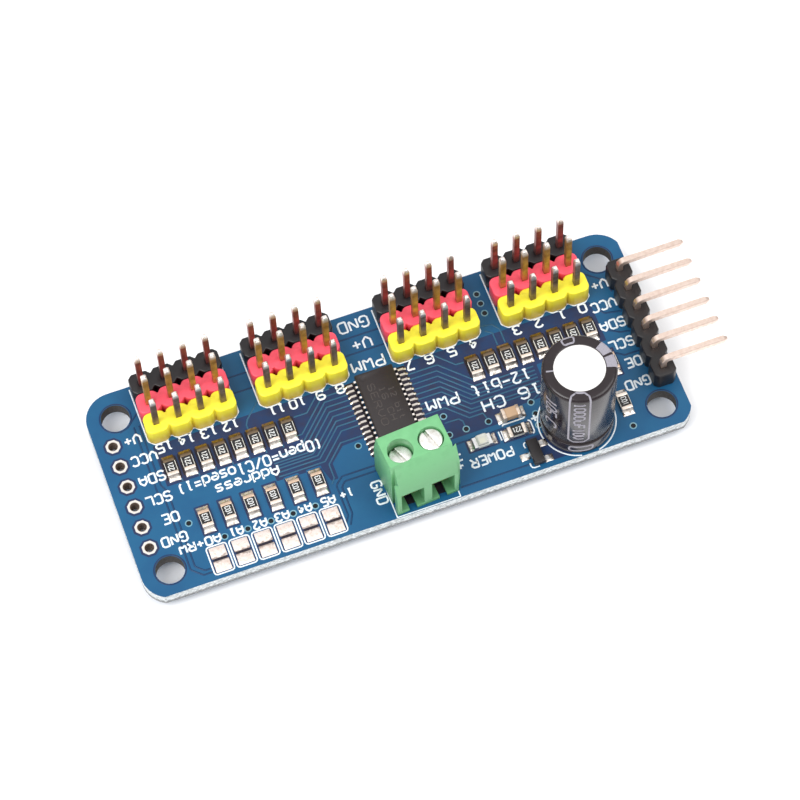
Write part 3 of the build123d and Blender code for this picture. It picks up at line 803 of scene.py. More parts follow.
class RibbonTree(GeometryTree):
    """Flat ribbons along every line of a piece, with rounded corners."""

    def __init__(self) -> None:
        """Build the tree."""
        super().__init__("ribbons", {"Width": float, "Thickness": float, "Corner": float,
                                     "Material": "material"})
        graph, entry = self.graph, self.entry
        line = graph.node("GeometryNodeMeshToCurve", inputs={"Mesh": entry["Geometry"]})[0]
        line = graph.node("GeometryNodeFilletCurve", {"mode": "POLY"}, {
            "Curve": line, "Count": 2, "Radius": entry["Corner"], "Limit Radius": True})[0]
        line = graph.node("GeometryNodeSetCurveNormal", {"mode": "Z_UP"}, {"Curve": line})[0]
        section = graph.node("GeometryNodeCurvePrimitiveQuadrilateral", inputs={
            "Width": entry["Width"], "Height": entry["Thickness"]})[0]
        ribbon = graph.node("GeometryNodeCurveToMesh", inputs={
            "Curve": line, "Profile Curve": section, "Fill Caps": True})[0]
        self.close(ribbon)

    def draw(self, name: str, lines: Iterable[Sequence[Point]], height: float,
             sizes: tuple[float, float, float], finish: Finish, step: float = STEP
             ) -> bpy.types.Object:
        """Draw flat lines.

        Args:
            name: name of the piece.
            lines: lines of flat points in millimetres.
            height: height of the ribbons' middle in metres.
            sizes: width, thickness and corner radius of the ribbons in metres.
            finish: their finish.
            step: rise from one line to the next.

        Returns:
            The piece, which rides on nothing yet.
        """
        values = dict(zip(("Width", "Thickness", "Corner"), sizes), Material=finish.material())
        return self.run(lines_of(name, in_metres(lines, height, step)), values)


class PlateTree(GeometryTree):
    """Thin plates inside every closed line of a piece."""

    def __init__(self) -> None:
        """Build the tree."""
        super().__init__("plates", {"Thickness": float, "Corner": float, "Height": float,
                                    "Material": "material"})
        graph, entry = self.graph, self.entry
        line = graph.node("GeometryNodeMeshToCurve", inputs={"Mesh": entry["Geometry"]})[0]
        line = graph.node("GeometryNodeFilletCurve", {"mode": "POLY"}, {
            "Curve": line, "Count": 4, "Radius": entry["Corner"], "Limit Radius": True})[0]
        face = graph.node("GeometryNodeFillCurve", inputs={"Curve": line})[0]
        under = graph.node("GeometryNodeFlipFaces", inputs={"Mesh": face})[0]
        over = graph.node("GeometryNodeExtrudeMesh", {"mode": "FACES"}, {
            "Mesh": face, "Offset Scale": entry["Thickness"], "Individual": False})[0]
        joined = graph.node("GeometryNodeJoinGeometry")
        graph.tree.links.new(under.source, joined.node.inputs[0])
        graph.tree.links.new(over.source, joined.node.inputs[0])
        lift = graph.node("ShaderNodeCombineXYZ", inputs={"Z": entry["Height"]})[0]
        solid = graph.node("GeometryNodeMergeByDistance", inputs={
            "Geometry": joined[0], "Distance": 1e-7})[0]
        raised = graph.node("GeometryNodeSetPosition", inputs={"Geometry": solid,
                                                              "Offset": lift})[0]
        self.close(raised)

    def fill(self, name: str, loops: list[list[Point]], sizes: tuple[float, float, float],
             finish: Finish) -> bpy.types.Object:
        """Fill closed lines; a line inside another is a hole.

        Args:
            name: name of the piece.
            loops: closed lines of flat points in millimetres.
            sizes: thickness, corner radius and height of the plates in metres.
            finish: their finish.

        Returns:
            The piece, which rides on nothing yet.
        """
        values = dict(zip(("Thickness", "Corner", "Height"), sizes), Material=finish.material())
        return self.run(lines_of(name, in_metres(loops, 0.0)), values)


class ScatterTree(GeometryTree):
    """A small piece set on every point, turned and grown by the point's own attributes."""

    def __init__(self) -> None:
        """Build the tree."""
        super().__init__("scattered", {"Piece": "object", "Material": "material"})
        graph, entry = self.graph, self.entry
        piece = graph.node("GeometryNodeObjectInfo", inputs={"Object": entry["Piece"]})
        turn = graph.node("GeometryNodeInputNamedAttribute", {"data_type": "FLOAT"},
                          {"Name": "turn"})[0]
        grow = graph.node("GeometryNodeInputNamedAttribute", {"data_type": "FLOAT"},
                          {"Name": "grow"})[0]
        turned = graph.node("ShaderNodeCombineXYZ", inputs={"Z": turn})[0]
        copies = graph.node("GeometryNodeInstanceOnPoints", inputs={
            "Points": entry["Geometry"], "Instance": piece["Geometry"], "Rotation": turned,
            "Scale": grow})[0]
        self.close(copies)

    def spread(self, name: str, stamp: bpy.types.Object, spots: Sequence[Spot],
               finish: Finish) -> bpy.types.Object:
        """Set a stamp, which is used up, on every spot.

        Args:
            name: name of the piece.
            stamp: the shape to repeat.
            spots: place, turn and growth of each copy.
            finish: finish of the copies.

        Returns:
            The piece, which rides on nothing yet.
        """
        values = {"Piece": stamp, "Material": finish.material()}
        piece = self.run(points_of(name, spots), values)
        bpy.data.objects.remove(stamp)
        return piece


# --- mesh helpers ----------------------------------------------------------------------------
def placed(name: str, mesh: bpy.types.Mesh) -> bpy.types.Object:
    """A new object at the origin that shows a mesh."""
    made = bpy.data.objects.new(name, mesh)
    bpy.context.scene.collection.objects.link(made)
    return made


def from_bmesh(name: str, shape: bmesh.types.BMesh) -> bpy.types.Object:
    """A new object from an edited mesh, with its normals turned outwards.

    Args:
        name: name of the object and its mesh.
        shape: the edited mesh; it is used up.

    Returns:
        The object, at the origin.
    """
    bmesh.ops.recalc_face_normals(shape, faces=shape.faces)
    mesh = bpy.data.meshes.new(name)
    shape.to_mesh(mesh)
    shape.free()
    return placed(name, mesh)


def lines_of(name: str, lines: Iterable[Sequence[Sequence[float]]]) -> bpy.types.Object:
    """A mesh of bare edges; a line that ends where it starts is closed.

    Args:
        name: name of the object.
        lines: lines of points.

    Returns:
        The object, at the origin.
    """
    points, edges = [], []
    for line in lines:
        first, shut = len(points), tuple(line[0]) == tuple(line[-1])
        kept = line[:-1] if shut else line
        points += [tuple(point) for point in kept]
        edges += [(first + i, first + i + 1) for i in range(len(kept) - 1)]
        if shut:
            edges.append((first + len(kept) - 1, first))
    mesh = bpy.data.meshes.new(name)
    mesh.from_pydata(points, edges, [])
    return placed(name, mesh)


def points_of(name: str, spots: Sequence[Spot]) -> bpy.types.Object:
    """A mesh of bare points.

    Args:
        name: name of the object.
        spots: place, turn about Z and growth of each point.

    Returns:
        The object, with turn and grow as attributes of its points.
    """
    mesh = bpy.data.meshes.new(name)
    mesh.from_pydata([spot[:3] for spot in spots], [], [])
    for place, label in ((3, "turn"), (4, "grow")):
        values = mesh.attributes.new(label, "FLOAT", "POINT").data
        values.foreach_set("value", [spot[place] for spot in spots])
    return placed(name, mesh)


def smooth(piece: bpy.types.Object, angle: float = 35.0) -> None:
    """Shade a piece smooth, with edges above an angle kept sharp."""
    piece.data.shade_smooth()
    piece.data.set_sharp_from_angle(angle=radians(angle))


def dressed(piece: bpy.types.Object, finish: Finish, slot: Slot, body: str = BODY,
            nodes: Sequence[str] = ()) -> bpy.types.Object:
    """Finish a piece and make it ride.

    Args:
        piece: object at the origin.
        finish: its finish.
        slot: the record's slot it follows; not used.
        body: the body it rides on.
        nodes: CAD nodes that it stands for.

    Returns:
        The piece.
    """
    piece.data.materials.clear()
    piece.data.materials.append(finish.material())
    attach(piece, body)
    if nodes:
        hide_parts(*nodes)
    LOG.info("%s: %d faces on %s", piece.name, len(piece.data.polygons), body)
    return piece


def coat(node: str, finish: Finish) -> None:
    """Give a CAD node that stays a finish of its own.

    Args:
        node: name of the node.
        finish: its finish.
    """
    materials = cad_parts[node].data.materials
    if not materials:
        materials.append(finish.material())
    for place in range(len(materials)):
        materials[place] = finish.material()
    LOG.info("%s: kept, %s", node, finish.name)


def recast(node: str, name: str, finish: Finish, slot: Slot, width: float, segments: int = 2,
           body: str = BODY) -> None:
    """Stand a copy of a CAD node, with its sharp edges rounded, in the node's place.

    Args:
        node: CAD node to copy and replace.
        name: name of the new piece.
        finish: its finish.
        slot: the record's slot it follows.
        width: width of the rounding.
        segments: steps across the rounding.
        body: the body it rides on.
    """
    shape = bmesh.new()
    shape.from_mesh(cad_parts[node].data)
    bmesh.ops.remove_doubles(shape, verts=shape.verts, dist=SAME_POINT)
    bmesh.ops.dissolve_limit(shape, angle_limit=radians(FLAT_TURN), verts=shape.verts,
                             edges=shape.edges)
    piece = from_bmesh(name, shape)
    bevel = piece.modifiers.new("edges", "BEVEL")
    bevel.width = width
    bevel.segments = segments
    bevel.limit_method = "ANGLE"
    bevel.angle_limit = radians(SHARP_TURN)
    bevel.use_clamp_overlap = False
    depsgraph = bpy.context.evaluated_depsgraph_get()
    mesh = bpy.data.meshes.new_from_object(piece.evaluated_get(depsgraph))
    bpy.data.objects.remove(piece)
    mesh.name = name
    rounded = placed(name, mesh)
    smooth(rounded, 40.0)
    dressed(rounded, finish, slot, body, [node])


def lathe(name: str, outline: Sequence[Point], at: Point, steps: int = 96) -> bpy.types.Object:
    """A piece turned about an upright axis.

    Args:
        name: name of the piece.
        outline: closed loop of radius and height; points on the axis have no radius.
        at: the axis.
        steps: sides of the turned shape.

    Returns:
        The new piece.
    """
    shape = bmesh.new()
    rings = []
    for radius, height in outline:
        if radius < ON_AXIS:
            rings.append([shape.verts.new((at[0], at[1], height))])
            continue
        rings.append([shape.verts.new((at[0] + radius * cos(2 * pi * i / steps),
                                       at[1] + radius * sin(2 * pi * i / steps), height))
                      for i in range(steps)])
    for low, high in zip(rings, rings[1:] + rings[:1]):
        for i in range(steps):
            j = (i + 1) % steps
            corners = [low[i % len(low)], low[j % len(low)], high[j % len(high)],
                       high[i % len(high)]]
            corners = list(dict.fromkeys(corners))
            if len(corners) > 2:
                shape.faces.new(corners)
    piece = from_bmesh(name, shape)
    smooth(piece)
    return piece


# --- stroke lettering ------------------------------------------------------------------------
@dataclass(frozen=True)
class Label:
    """One line of lettering: what it says, its middle, its width and height, and its turn."""

    text: str
    x: float
    y: float
    width: float
    height: float
    turn: float = 180.0


class StrokeFont:
    """Plain plotted capitals and figures on a grid four wide and eight high.

    Each glyph is a few strokes, and each stroke a run of column and row digits. Capitals stand
    on row two.
    """

    GLYPHS = {
        "0": "123243473818070312", "1": "172822 1232", "2": "07183847460242",
        "3": "0718384746354443321203 2535", "4": "32380444", "5": "480805354443321203",
        "6": "4738180703123243443505", "7": "08483512",
        "8": "15060718384746351504031232434435",
        "9": "0312324347381807061545", "A": "0206284642 0444", "C": "4738180703123243",
        "D": "02083847433202", "E": "48080242 0535", "F": "480802 0535",
        "G": "47381807031232434525", "H": "0208 4248 0545", "L": "080242",
        "M": "0208254842", "N": "02084248", "O": "123243473818070312",
        "P": "02083847463505", "R": "02083847463505 2542", "S": "473818070615354443321203",
        "V": "0804224448", "W": "0802244248", "b": "08023243453606",
        "d": "48421203051646", "e": "044445361605031232", "i": "1232 2226 1626 2728",
        "l": "182822 1232", "n": "0206 0516364542", "o": "123243453616050312",
        "p": "00063645433202", "r": "0206 05163645", "s": "4616051434433202",
        "t": "28233242 1636", "u": "0603123243 4642", "+": "2327 0545", "-": "0545",
        "=": "0444 0646", "/": "0248", "(": "38272332", ")": "18272312", " ": "",
    }
    ADVANCE = 5.6
    LETTER = 4.0
    BASE, CAPITAL = 2.0, 6.0

    def strokes(self, label: Label) -> list[list[Point]]:
        """Lines of a label, laid out and turned.

        Args:
            label: the lettering to lay out.

        Returns:
            Lines of points in the label's own units.
        """
        span = self.ADVANCE * (len(label.text) - 1) + self.LETTER
        across, up = label.width / span, label.height / self.CAPITAL
        c, s = cos(radians(label.turn)), sin(radians(label.turn))
        lines = []
        for place, letter in enumerate(label.text):
            for run in self.GLYPHS[letter].split():
                line = []
                for column, row in zip(run[::2], run[1::2]):
                    u = (int(column) + place * self.ADVANCE - span / 2) * across
                    v = (int(row) - self.BASE - self.CAPITAL / 2) * up
                    line.append((label.x + u * c - v * s, label.y + u * s + v * c))
                lines.append(line)
        return lines


def rectangle(x: float, y: float, width: float, height: float) -> list[Point]:
    """A closed rectangle about a point."""
    corners = [(-1, -1), (1, -1), (1, 1), (-1, 1), (-1, -1)]
    return [(x + a * width / 2, y + b * height / 2) for a, b in corners]


def ring(x: float, y: float, radius: float, sides: int = 48, start: float = 0.0) -> list[Point]:
    """A closed many-sided ring about a point."""
    corners = [(x + radius * cos(start + 2 * pi * i / sides),
                y + radius * sin(start + 2 * pi * i / sides)) for i in range(sides)]
    return corners + corners[:1]


def arc(x: float, y: float, radius: float, first: float, last: float, steps: int = 24
        ) -> list[Point]:
    """Part of a circle about a point, between two directions in degrees."""
    turns = [radians(first + (last - first) * i / steps) for i in range(steps + 1)]
    return [(x + radius * cos(turn), y + radius * sin(turn)) for turn in turns]


def in_metres(lines: Iterable[Sequence[Point]], height: float, step: float = 0.0
              ) -> list[list[tuple]]:
    """Flat lines in millimetres brought to metres.

    Args:
        lines: lines of flat points.
        height: height of the lines in metres.
        step: rise from one line to the next, over LEVELS lines, so that none lie level.

    Returns:
        Lines of points in space.
    """
    return [[(x * MM, y * MM, height + step * (i % LEVELS)) for x, y in line]
            for i, line in enumerate(lines)]


def surrounds(loop: Sequence[Point], spot: Point) -> bool:
    """Whether a closed line runs round a point.

    Args:
        loop: the line, which ends where it starts.
        spot: the point.

    Returns:
        True where it does.
    """
    inside = False
    for (x0, y0), (x1, y1) in zip(loop, loop[1:]):
        if (y0 > spot[1]) != (y1 > spot[1]):
            inside ^= spot[0] < x0 + (spot[1] - y0) * (x1 - x0) / (y1 - y0)
    return inside


# --- circuit board ---------------------------------------------------------------------------
@dataclass
class CircuitBoard:
    """Laminate, mask, tracks, legend and pads. Flat places are in millimetres."""

    ribbons: RibbonTree
    plates: PlateTree
    scatter: ScatterTree
    font: StrokeFont
    film: float = 0.012 * MM
    legend_width: float = 0.225 * MM
    track_width: float = 0.17 * MM
    vias: list[Point] = field(default_factory=lambda: [
        (-24.4, -5.1), (-21.3, -7.9), (-18.7, -7.9), (-16.1, -7.9), (-13.6, -7.9),
        (-11.1, -7.9), (-4.44, -2.8), (5.36, -2.7), (5.2, -5.0), (7.14, -4.96), (9.7, -4.96),
        (14.8, -4.4), (14.8, -5.84), (14.64, -7.24), (13.96, 10.1), (13.96, 8.86),
        (13.96, 7.6), (24.1, -10.9),
    ])
    land_depth: float = 0.045 * MM
    chip_pitch: float = 0.65
    group_x: tuple = (-20.32, -7.62, 7.62, 20.32)
    pitch: float = 2.54
    address_x0: float = -22.54
    breakout_x: float = -29.21
    mount: Point = (27.94, 9.525)

    @property
    def top(self) -> float:
        """Height of the parts side."""
        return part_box("circuit_board")[1].z

    def build(self) -> None:
        """Build and dress every piece of the board."""
        coat("circuit_board", LAMINATE)
        self.bare_areas()
        self.tracks()
        self.gap_lines()
        self.via_rings()
        self.legend()
        self.outlines()
        self.pads()

    def _plate(self, name: str, loops: list[list[Point]], thick: float, corner: float,
               finish: Finish, slot: Slot, nodes: Sequence[str] = ()) -> None:
        """Dress thin plates on the parts side, inside closed lines.

        Args:
            name: name of the piece.
            loops: closed lines in millimetres; an inner one is a hole.
            thick: thickness of the plates.
            corner: radius of their corners.
            finish: their finish.
            slot: the record's slot they follow.
            nodes: CAD nodes that they stand for.
        """
        piece = self.plates.fill(name, loops, (thick, corner, self.top), finish)
        dressed(piece, finish, slot, nodes=nodes)

    def _ribbon(self, name: str, lines: Iterable[Sequence[Point]], width: float, lift: float,
                finish: Finish, slot: Slot, corner: float = 0.1 * MM) -> bpy.types.Object:
        """Dress flat ribbons on the parts side.

        Args:
            name: name of the piece.
            lines: middle lines of the ribbons.
            width: width of the ribbons in metres.
            lift: height above the mask in metres.
            finish: their finish.
            slot: the record's slot they follow.
            corner: radius of their corners in metres.

        Returns:
            The piece.
        """
        sizes = (width, self.film, corner)
        return dressed(self.ribbons.draw(name, lines, self.top + lift, sizes, finish), finish,
                       slot)

    def bare_areas(self) -> None:
        """Places where the copper is cleared away and the mask looks darker, and painted shade
        under parts and at the mounting hole rims.
        """
        left = [(-3.5, 4.9), (-25.2, 4.9), (-25.2, -0.2), (-14.0, -0.2), (-14.0, -3.7),
                (-9.0, -3.9), (-8.5, -5.7), (-7.7, -5.7), (-7.7, -3.8), (-6.0, -2.2),
                (-3.5, -2.1), (-3.5, 4.9)]
        right = [(3.5, 4.9), (25.2, 4.9), (25.2, -0.2), (17.0, -0.3), (17.0, -4.2),
                 (11.0, -4.4), (11.0, -5.6), (4.2, -5.6), (3.5, -2.0), (3.5, 4.9)]
        lands = [rectangle(self.address_x0 + i * self.pitch, -10.17, 1.98, 3.04)
                 for i in range(6)]
        lands += [rectangle(self.address_x0 + i * self.pitch, -5.35, 1.7, 3.6)
                  for i in range(6)]
        lands += [rectangle(24.7, -3.0, 1.7, 3.6), rectangle(12.15, -7.2, 3.6, 1.7),
                  rectangle(8.2, -7.05, 3.6, 1.7), rectangle(14.7, -10.0, 4.2, 3.4)]
        loops = [left, right] + lands
        vias = [ring(*via, 0.25, 16) for via in self.vias
                if any(surrounds(loop, via) for loop in loops)]
        rows = [(i - 2.5) * self.pitch for i in range(6)]
        pads = [ring(self.breakout_x, y, 1.1, 8, pi / 8) for y in rows]
        pads += [ring(self.breakout_x, y, 0.58, 24) for y in rows]
        self._plate("bare_mask_areas", loops + vias + pads, self.film * 0.4, 0.12 * MM,
                    MASK_BARE, Slot.MASK)
        # painted shade under the chip leads, the channel resistors, the address pad gaps and the
        # terminal block
        shade = [rectangle(side * 2.85, 0.0, 1.25, 9.3) for side in (-1, 1)]
        shade += [rectangle(x0 + i * 1.905, 1.75, 1.72, 2.7)
                  for x0 in (-24.13, 10.6) for i in range(8)]
        shade += [rectangle(self.address_x0 + i * self.pitch, -10.17, 1.5, 0.7)
                  for i in range(6)]
        shade.append(rectangle(0.15, -8.6, 6.2, 5.2))
        self._plate("mask_under_parts", shade, self.film * 0.6, 0.1 * MM, PAINTED_SHADE_FILM, Slot.MASK)
        # painted shade: a dark ring at the rim of each mounting hole
        holes = [ring(sx * self.mount[0], sy * self.mount[1], 1.72)
                 for sx in (-1, 1) for sy in (-1, 1)]
        self._ribbon("hole_clearance_rings", holes, 0.14 * MM, 0.0, MASK_BARE, Slot.MASK)

    def _fan(self, side: int, first: int, knees: Sequence[float], levels: Sequence[float],
             far: Sequence[float]) -> list[list[Point]]:
        """Tracks from one side of the chip, straight out, slanting and level again.

        Args:
            side: -1 for the left, 1 for the right.
            first: place of the first lead in the column.
            knees: distance from the middle where each track starts to slant.
            levels: height of each track's last run.
            far: distance from the middle where each track ends.

        Returns:
            One line for each track.
        """
        lines = []
        for place, (knee, level, end) in enumerate(zip(knees, levels, far), start=first):
            y = 4.08 - place * self.chip_pitch
            lines.append([(side * 3.55, y), (side * knee, y), (side * (knee + y - level), level),
                          (side * end, level)])
        return lines

    def tracks(self) -> None:
        """Lighter lines where mask lies over copper tracks."""
        lines = self._fan(-1, 0, (6.2, 6.1, 6.1, 6.0, 5.8, 5.7, 5.8, 5.55),
                          (0.65, -0.9, -1.3, -1.65, -2.0, -2.35, -2.8, -3.3),
                          (10.2, 13.6, 13.6, 13.6, 13.6, 13.6, 13.6, 13.6))
        lines += self._fan(1, 1, (6.9, 6.6, 6.5, 6.4, 6.3, 6.2, 6.1, 6.0),
                           (0.4, -0.4, -0.9, -1.4, -1.8, -2.3, -2.9, -3.3),
                           (10.1, 16.6, 16.6, 16.6, 16.6, 16.6, 16.6, 16.6))
        lines += [
            [(-3.55, -1.78), (-6.1, -1.78), (-8.1, -3.78), (-8.1, -5.5), (-8.6, -6.1)],
            [(-5.1, 4.8), (-6.4, 4.8), (-8.3, 2.9), (-9.8, 2.9)],
            [(3.55, -1.78), (5.9, -1.78), (7.92, -3.8), (9.5, -3.8), (9.7, -4.6)],
            [(6.9, 4.7), (7.1, 4.5), (8.8, 2.75), (9.7, 2.7)],
            [(5.2, -3.5), (6.8, -3.55), (7.15, -3.95), (7.14, -4.6)],
            [(-12.8, 6.2), (-14.6, 4.4), (-14.9, 3.8), (-14.9, 3.2)],
            [(13.0, 6.2), (14.2, 6.0), (14.8, 5.2), (14.8, 3.4)],
            [(13.2, 5.5), (13.9, 5.0), (13.9, 3.4)],
            [(14.8, -4.4), (16.2, -3.6)],
        ]
        for i in range(7):
            x = -12.0 - 1.905 * i
            lines.append([(x, 0.2), (x, -0.15)])
        self._ribbon("mask_over_track_lines", lines, self.track_width, self.film * 0.4,
                     MASK_TRACK, Slot.MASK, 0.12 * MM)

    def gap_lines(self) -> None:
        """Darker lines where the copper pour is parted."""
        lines = [
            [(-3.4, -5.6), (-7.3, -5.6), (-8.2, -6.4), (-8.2, -10.2), (-8.8, -11.1)],
            [(-3.4, -6.25), (-7.2, -6.25), (-7.7, -6.8), (-7.7, -10.1), (-8.3, -11.3)],
            [(4.2, -11.3), (12.4, -11.32)],
            [(5.1, -6.3), (11.0, -6.3)],
            [(-15.1, 9.9), (-12.6, 9.9)], [(-15.1, 7.9), (-12.6, 7.9)],
            [(-2.4, 9.9), (2.6, 9.9)], [(-2.4, 7.9), (2.6, 7.9)],
            [(-26.4, 7.8), (-26.4, -0.4), (-25.9, -1.6), (-25.9, -10.3), (-24.8, -11.35),
             (-23.8, -11.35)],
            [(-25.8, 7.8), (-25.8, 0.2), (-25.35, -0.8), (-25.35, -10.1), (-24.5, -10.9),
             (-23.8, -10.9)],
            [(25.6, 8.6), (27.6, 6.9), (28.0, 5.2)],
            [(25.3, 4.4), (26.2, 3.0), (28.1, 2.6)], [(25.3, 1.2), (27.0, 0.2), (28.1, 0.0)],
            [(25.3, -1.8), (26.4, -2.6), (28.1, -2.6)],
            [(-28.0, 7.7), (-27.0, 8.0), (-25.6, 9.3)],
        ]
        self._ribbon("pour_gap_lines", lines, 0.2 * MM, self.film * 0.2, MASK_GAP, Slot.MASK,
                     0.4 * MM)

    def via_rings(self) -> None:
        """A ring of masked copper round every via, and a disc of painted shade over its hole."""
        spots = [(x * MM, y * MM, self.top, 0.0, 1.0) for x, y in self.vias]
        for name, finish, inner, outer in (("via_rings", MASK_RING, 0.28, 0.41),
                                           ("via_mouths", VIA_HOLE_SHADE, 0.0, 0.28)):
            stamp = self._washer("via_stamp", inner * MM, outer * MM, 0.018 * MM)
            dressed(self.scatter.spread(name, stamp, spots, finish), finish, Slot.MASK)

    @staticmethod
    def _washer(name: str, inner: float, outer: float, height: float) -> bpy.types.Object:
        """A low washer with a rounded rim."""
        outline = [(inner, 0.0), (inner, height), (outer - height * 0.8, height), (outer, 0.0)]
        return lathe(name, outline, (0.0, 0.0), 20)

    def labels(self) -> list[Label]:
        """Every line of lettering on the parts side, in millimetres."""
        made = []
        channel_x = [24.2, 21.8, 19.05, 16.55, 11.45, 8.95, 6.35, 4.1,
                     -3.95, -6.2, -8.85, -11.2, -16.5, -18.95, -21.5, -24.0]
        for number, x in enumerate(channel_x):
            width = 0.8 if number < 10 else 1.7
            made.append(Label(str(number), x, 4.4, width, 1.05))
        names = ["V+", "VCC", "SDA", "SCL", "OE", "GND"]
        left_x = [-27.0, -26.5, -26.4, -26.5, -26.0, -26.4]
        right_x = [27.0, 26.5, 26.6, 26.6, 27.0, 26.5]
        for row, name in enumerate(names):
            y = 6.4 - 2.55 * row
            width = 1.75 if len(name) == 2 else 2.75
            made.append(Label(name, left_x[row], y, width, 1.1))
            made.append(Label(name, right_x[row], y + 0.1, width, 1.1))
        made += [
            Label("GND", 0.0, 11.3, 3.4, 1.3), Label("V+", 0.1, 8.8, 2.1, 1.3),
            Label("PWM", -0.1, 6.2, 3.6, 1.3), Label("PWM", 5.9, -1.0, 3.5, 1.3),
            Label("12-bit", 12.65, -1.05, 6.5, 1.3), Label("16 CH", 13.1, -3.1, 6.6, 1.3),
            Label("POWER", 8.55, -9.1, 4.7, 1.05),
            Label("(Open=0/Closed=1)", -16.15, -1.0, 16.3, 1.2),
            Label("Address", -16.9, -2.45, 7.0, 1.1),
            Label("A0+RW", -24.0, -7.8, 4.5, 0.95), Label("1+", -7.5, -7.7, 1.4, 0.95),
            Label("+", 14.5, -6.3, 0.8, 1.1), Label("GND", -4.15, -8.8, 2.7, 1.15, -90.0),
            Label("V+", 4.95, -8.4, 1.7, 1.15, -90.0),
        ]
        made += [Label(f"A{i}", x, -7.8, 1.45, 0.95)
                 for i, x in enumerate((-19.95, -17.3, -14.8, -12.25, -9.6), start=1)]
        return made

    def legend(self) -> None:
        """All lettering on the parts side."""
        lines = [line for label in self.labels() for line in self.font.strokes(label)]
        self._ribbon("legend_lettering", lines, self.legend_width, self.film, SILK, Slot.WHITE,
                     0.09 * MM)

    def _header_outline(self, x: float) -> list[list[Point]]:
        """Side lines and the scalloped front line of one header group.

        Args:
            x: middle of the group.

        Returns:
            One line of points in millimetres.
        """
        half, front, cut = 5.14, 5.0, 0.62
        line = [(x - half, 12.3), (x - half, front + cut)]
        for column in range(4):
            low = x - half + cut + column * self.pitch
            high = low + self.pitch - 2 * cut + (0.06 if column else 0.0)
            line += [(low, front), (high, front)]
            if column < 3:
                line.append((high + cut, front + cut))
        return [line + [(x + half, front + cut), (x + half, 12.3)]]

    def outlines(self) -> None:
        """Component outlines of the legend."""
        lines = []
        for i in range(6):
            x = self.address_x0 + i * self.pitch
            lines.append(rectangle(x, -10.17, 2.24, 3.34))
        for x in self.group_x:
            lines += self._header_outline(x)
        lines += [
            arc(18.65, -8.15, 4.22, 100, 256.5, 32), arc(18.65, -8.15, 4.22, 283.5, 395, 23),
            [(10.25, -6.5), (10.25, -7.6)], [(10.55, -6.5), (10.55, -7.9)],
            [(13.7, -6.3), (13.95, -6.3), (13.95, -7.95), (13.7, -7.95)],
            [(12.3, -9.35), (12.15, -8.7), (12.5, -8.7)],
            [(12.1, -11.2), (12.1, -11.85), (13.0, -11.85)],
            [(10.9, -6.05), (10.9, -5.9), (13.6, -5.9), (13.6, -4.4)],
        ]
        self._ribbon("legend_outlines", lines, 0.16 * MM, self.film, SILK, Slot.WHITE, 0.3 * MM)
        block = [[(-3.36, -5.4), (-3.36, -12.24), (3.8, -12.24), (3.8, -5.4)]]
        self._ribbon("legend_block_outline", block, 0.17 * MM, self.film, SILK, Slot.WHITE, 0.0)

    def pads(self) -> None:
        """Tinned breakout rings and address pads."""
        rows = [(i - 2.5) * self.pitch for i in range(6)]
        land, mouth = 0.83, 0.54
        rings = [ring(self.breakout_x, y, land, 8, pi / 8) for y in rows]
        mouths = [ring(self.breakout_x, y, mouth, 24) for y in rows]
        self._plate("breakout_rings", rings + mouths, self.land_depth, 0.0, PAD, Slot.PAD,
                    ["breakout_pads"])
        low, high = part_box("breakout_pads")
        bore, drill, rim, lip = 0.5 * MM, 0.55 * MM, 0.8 * MM, high.z - self.film
        wall = [(bore, low.z), (bore, lip), (drill, lip), (rim, self.top), (drill, self.top),
                (drill, 0.0), (rim, 0.0), (rim, low.z)]
        stamp = lathe("barrel_stamp", wall, (0.0, 0.0), 20)
        spots = [(self.breakout_x * MM, y * MM, 0.0, 0.0, 1.0) for y in rows]
        barrels = self.scatter.spread("breakout_barrels", stamp, spots, TARNISH_AND_SHADE_BARREL)
        dressed(barrels, TARNISH_AND_SHADE_BARREL, Slot.PAD)
        recast("address_pads", "address_solder_pads", ADDRESS, Slot.PAD, 0.03 * MM, 3)


# --- headers ---------------------------------------------------------------------------------
@dataclass
class ServoHeaders:
    """Sixteen three-pin outputs in four groups."""

    groups: int = 4
    edge: float = 0.07 * MM
    pin_edge: float = 0.035 * MM
    # the pins' shaft and shade colours are a painted reflection of each row's housing
    finishes: dict = field(default_factory=lambda: {
        "signal": (YELLOW, Slot.YELLOW, "#8f7d70", "#57493f"),
        "power": (RED, Slot.RED, "#c99c5c", "#91693a"),
        "ground": (BLACK, Slot.BLACK, "#9c5a54", "#69403c")})
    tip: str = "#fff6ee"
    tip_length: float = 0.55 * MM

    def build(self) -> None:
        """Build the housings and pins of every group and row."""
        for number in range(1, self.groups + 1):
            for row, (finish, slot, shaft, shade) in self.finishes.items():
                stem = f"servo_header_{number}_{row}"
                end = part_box(f"{stem}_pins")[1].z - self.tip_length
                plating = SquarePin(f"{row}_pin_plating", shaft, shade, self.tip, end)
                recast(f"{stem}_housing", f"{stem}_strip", finish, slot, self.edge)
                recast(f"{stem}_pins", f"{stem}_square_pins", plating, Slot.PIN, self.pin_edge, 1)


@dataclass
class ControlHeader:
    """Six right-angle pins in a black strip."""

    edge: float = 0.07 * MM
    pin_edge: float = 0.04 * MM

    def build(self) -> None:
        """Build the strip and its bent pins."""
        recast("control_header_housing", "control_header_strip", CONTROL_BLACK, Slot.BLACK,
               self.edge)
        recast("control_header_pins", "control_header_bent_pins", CONTROL_PIN, Slot.PIN,
               self.pin_edge, 1)


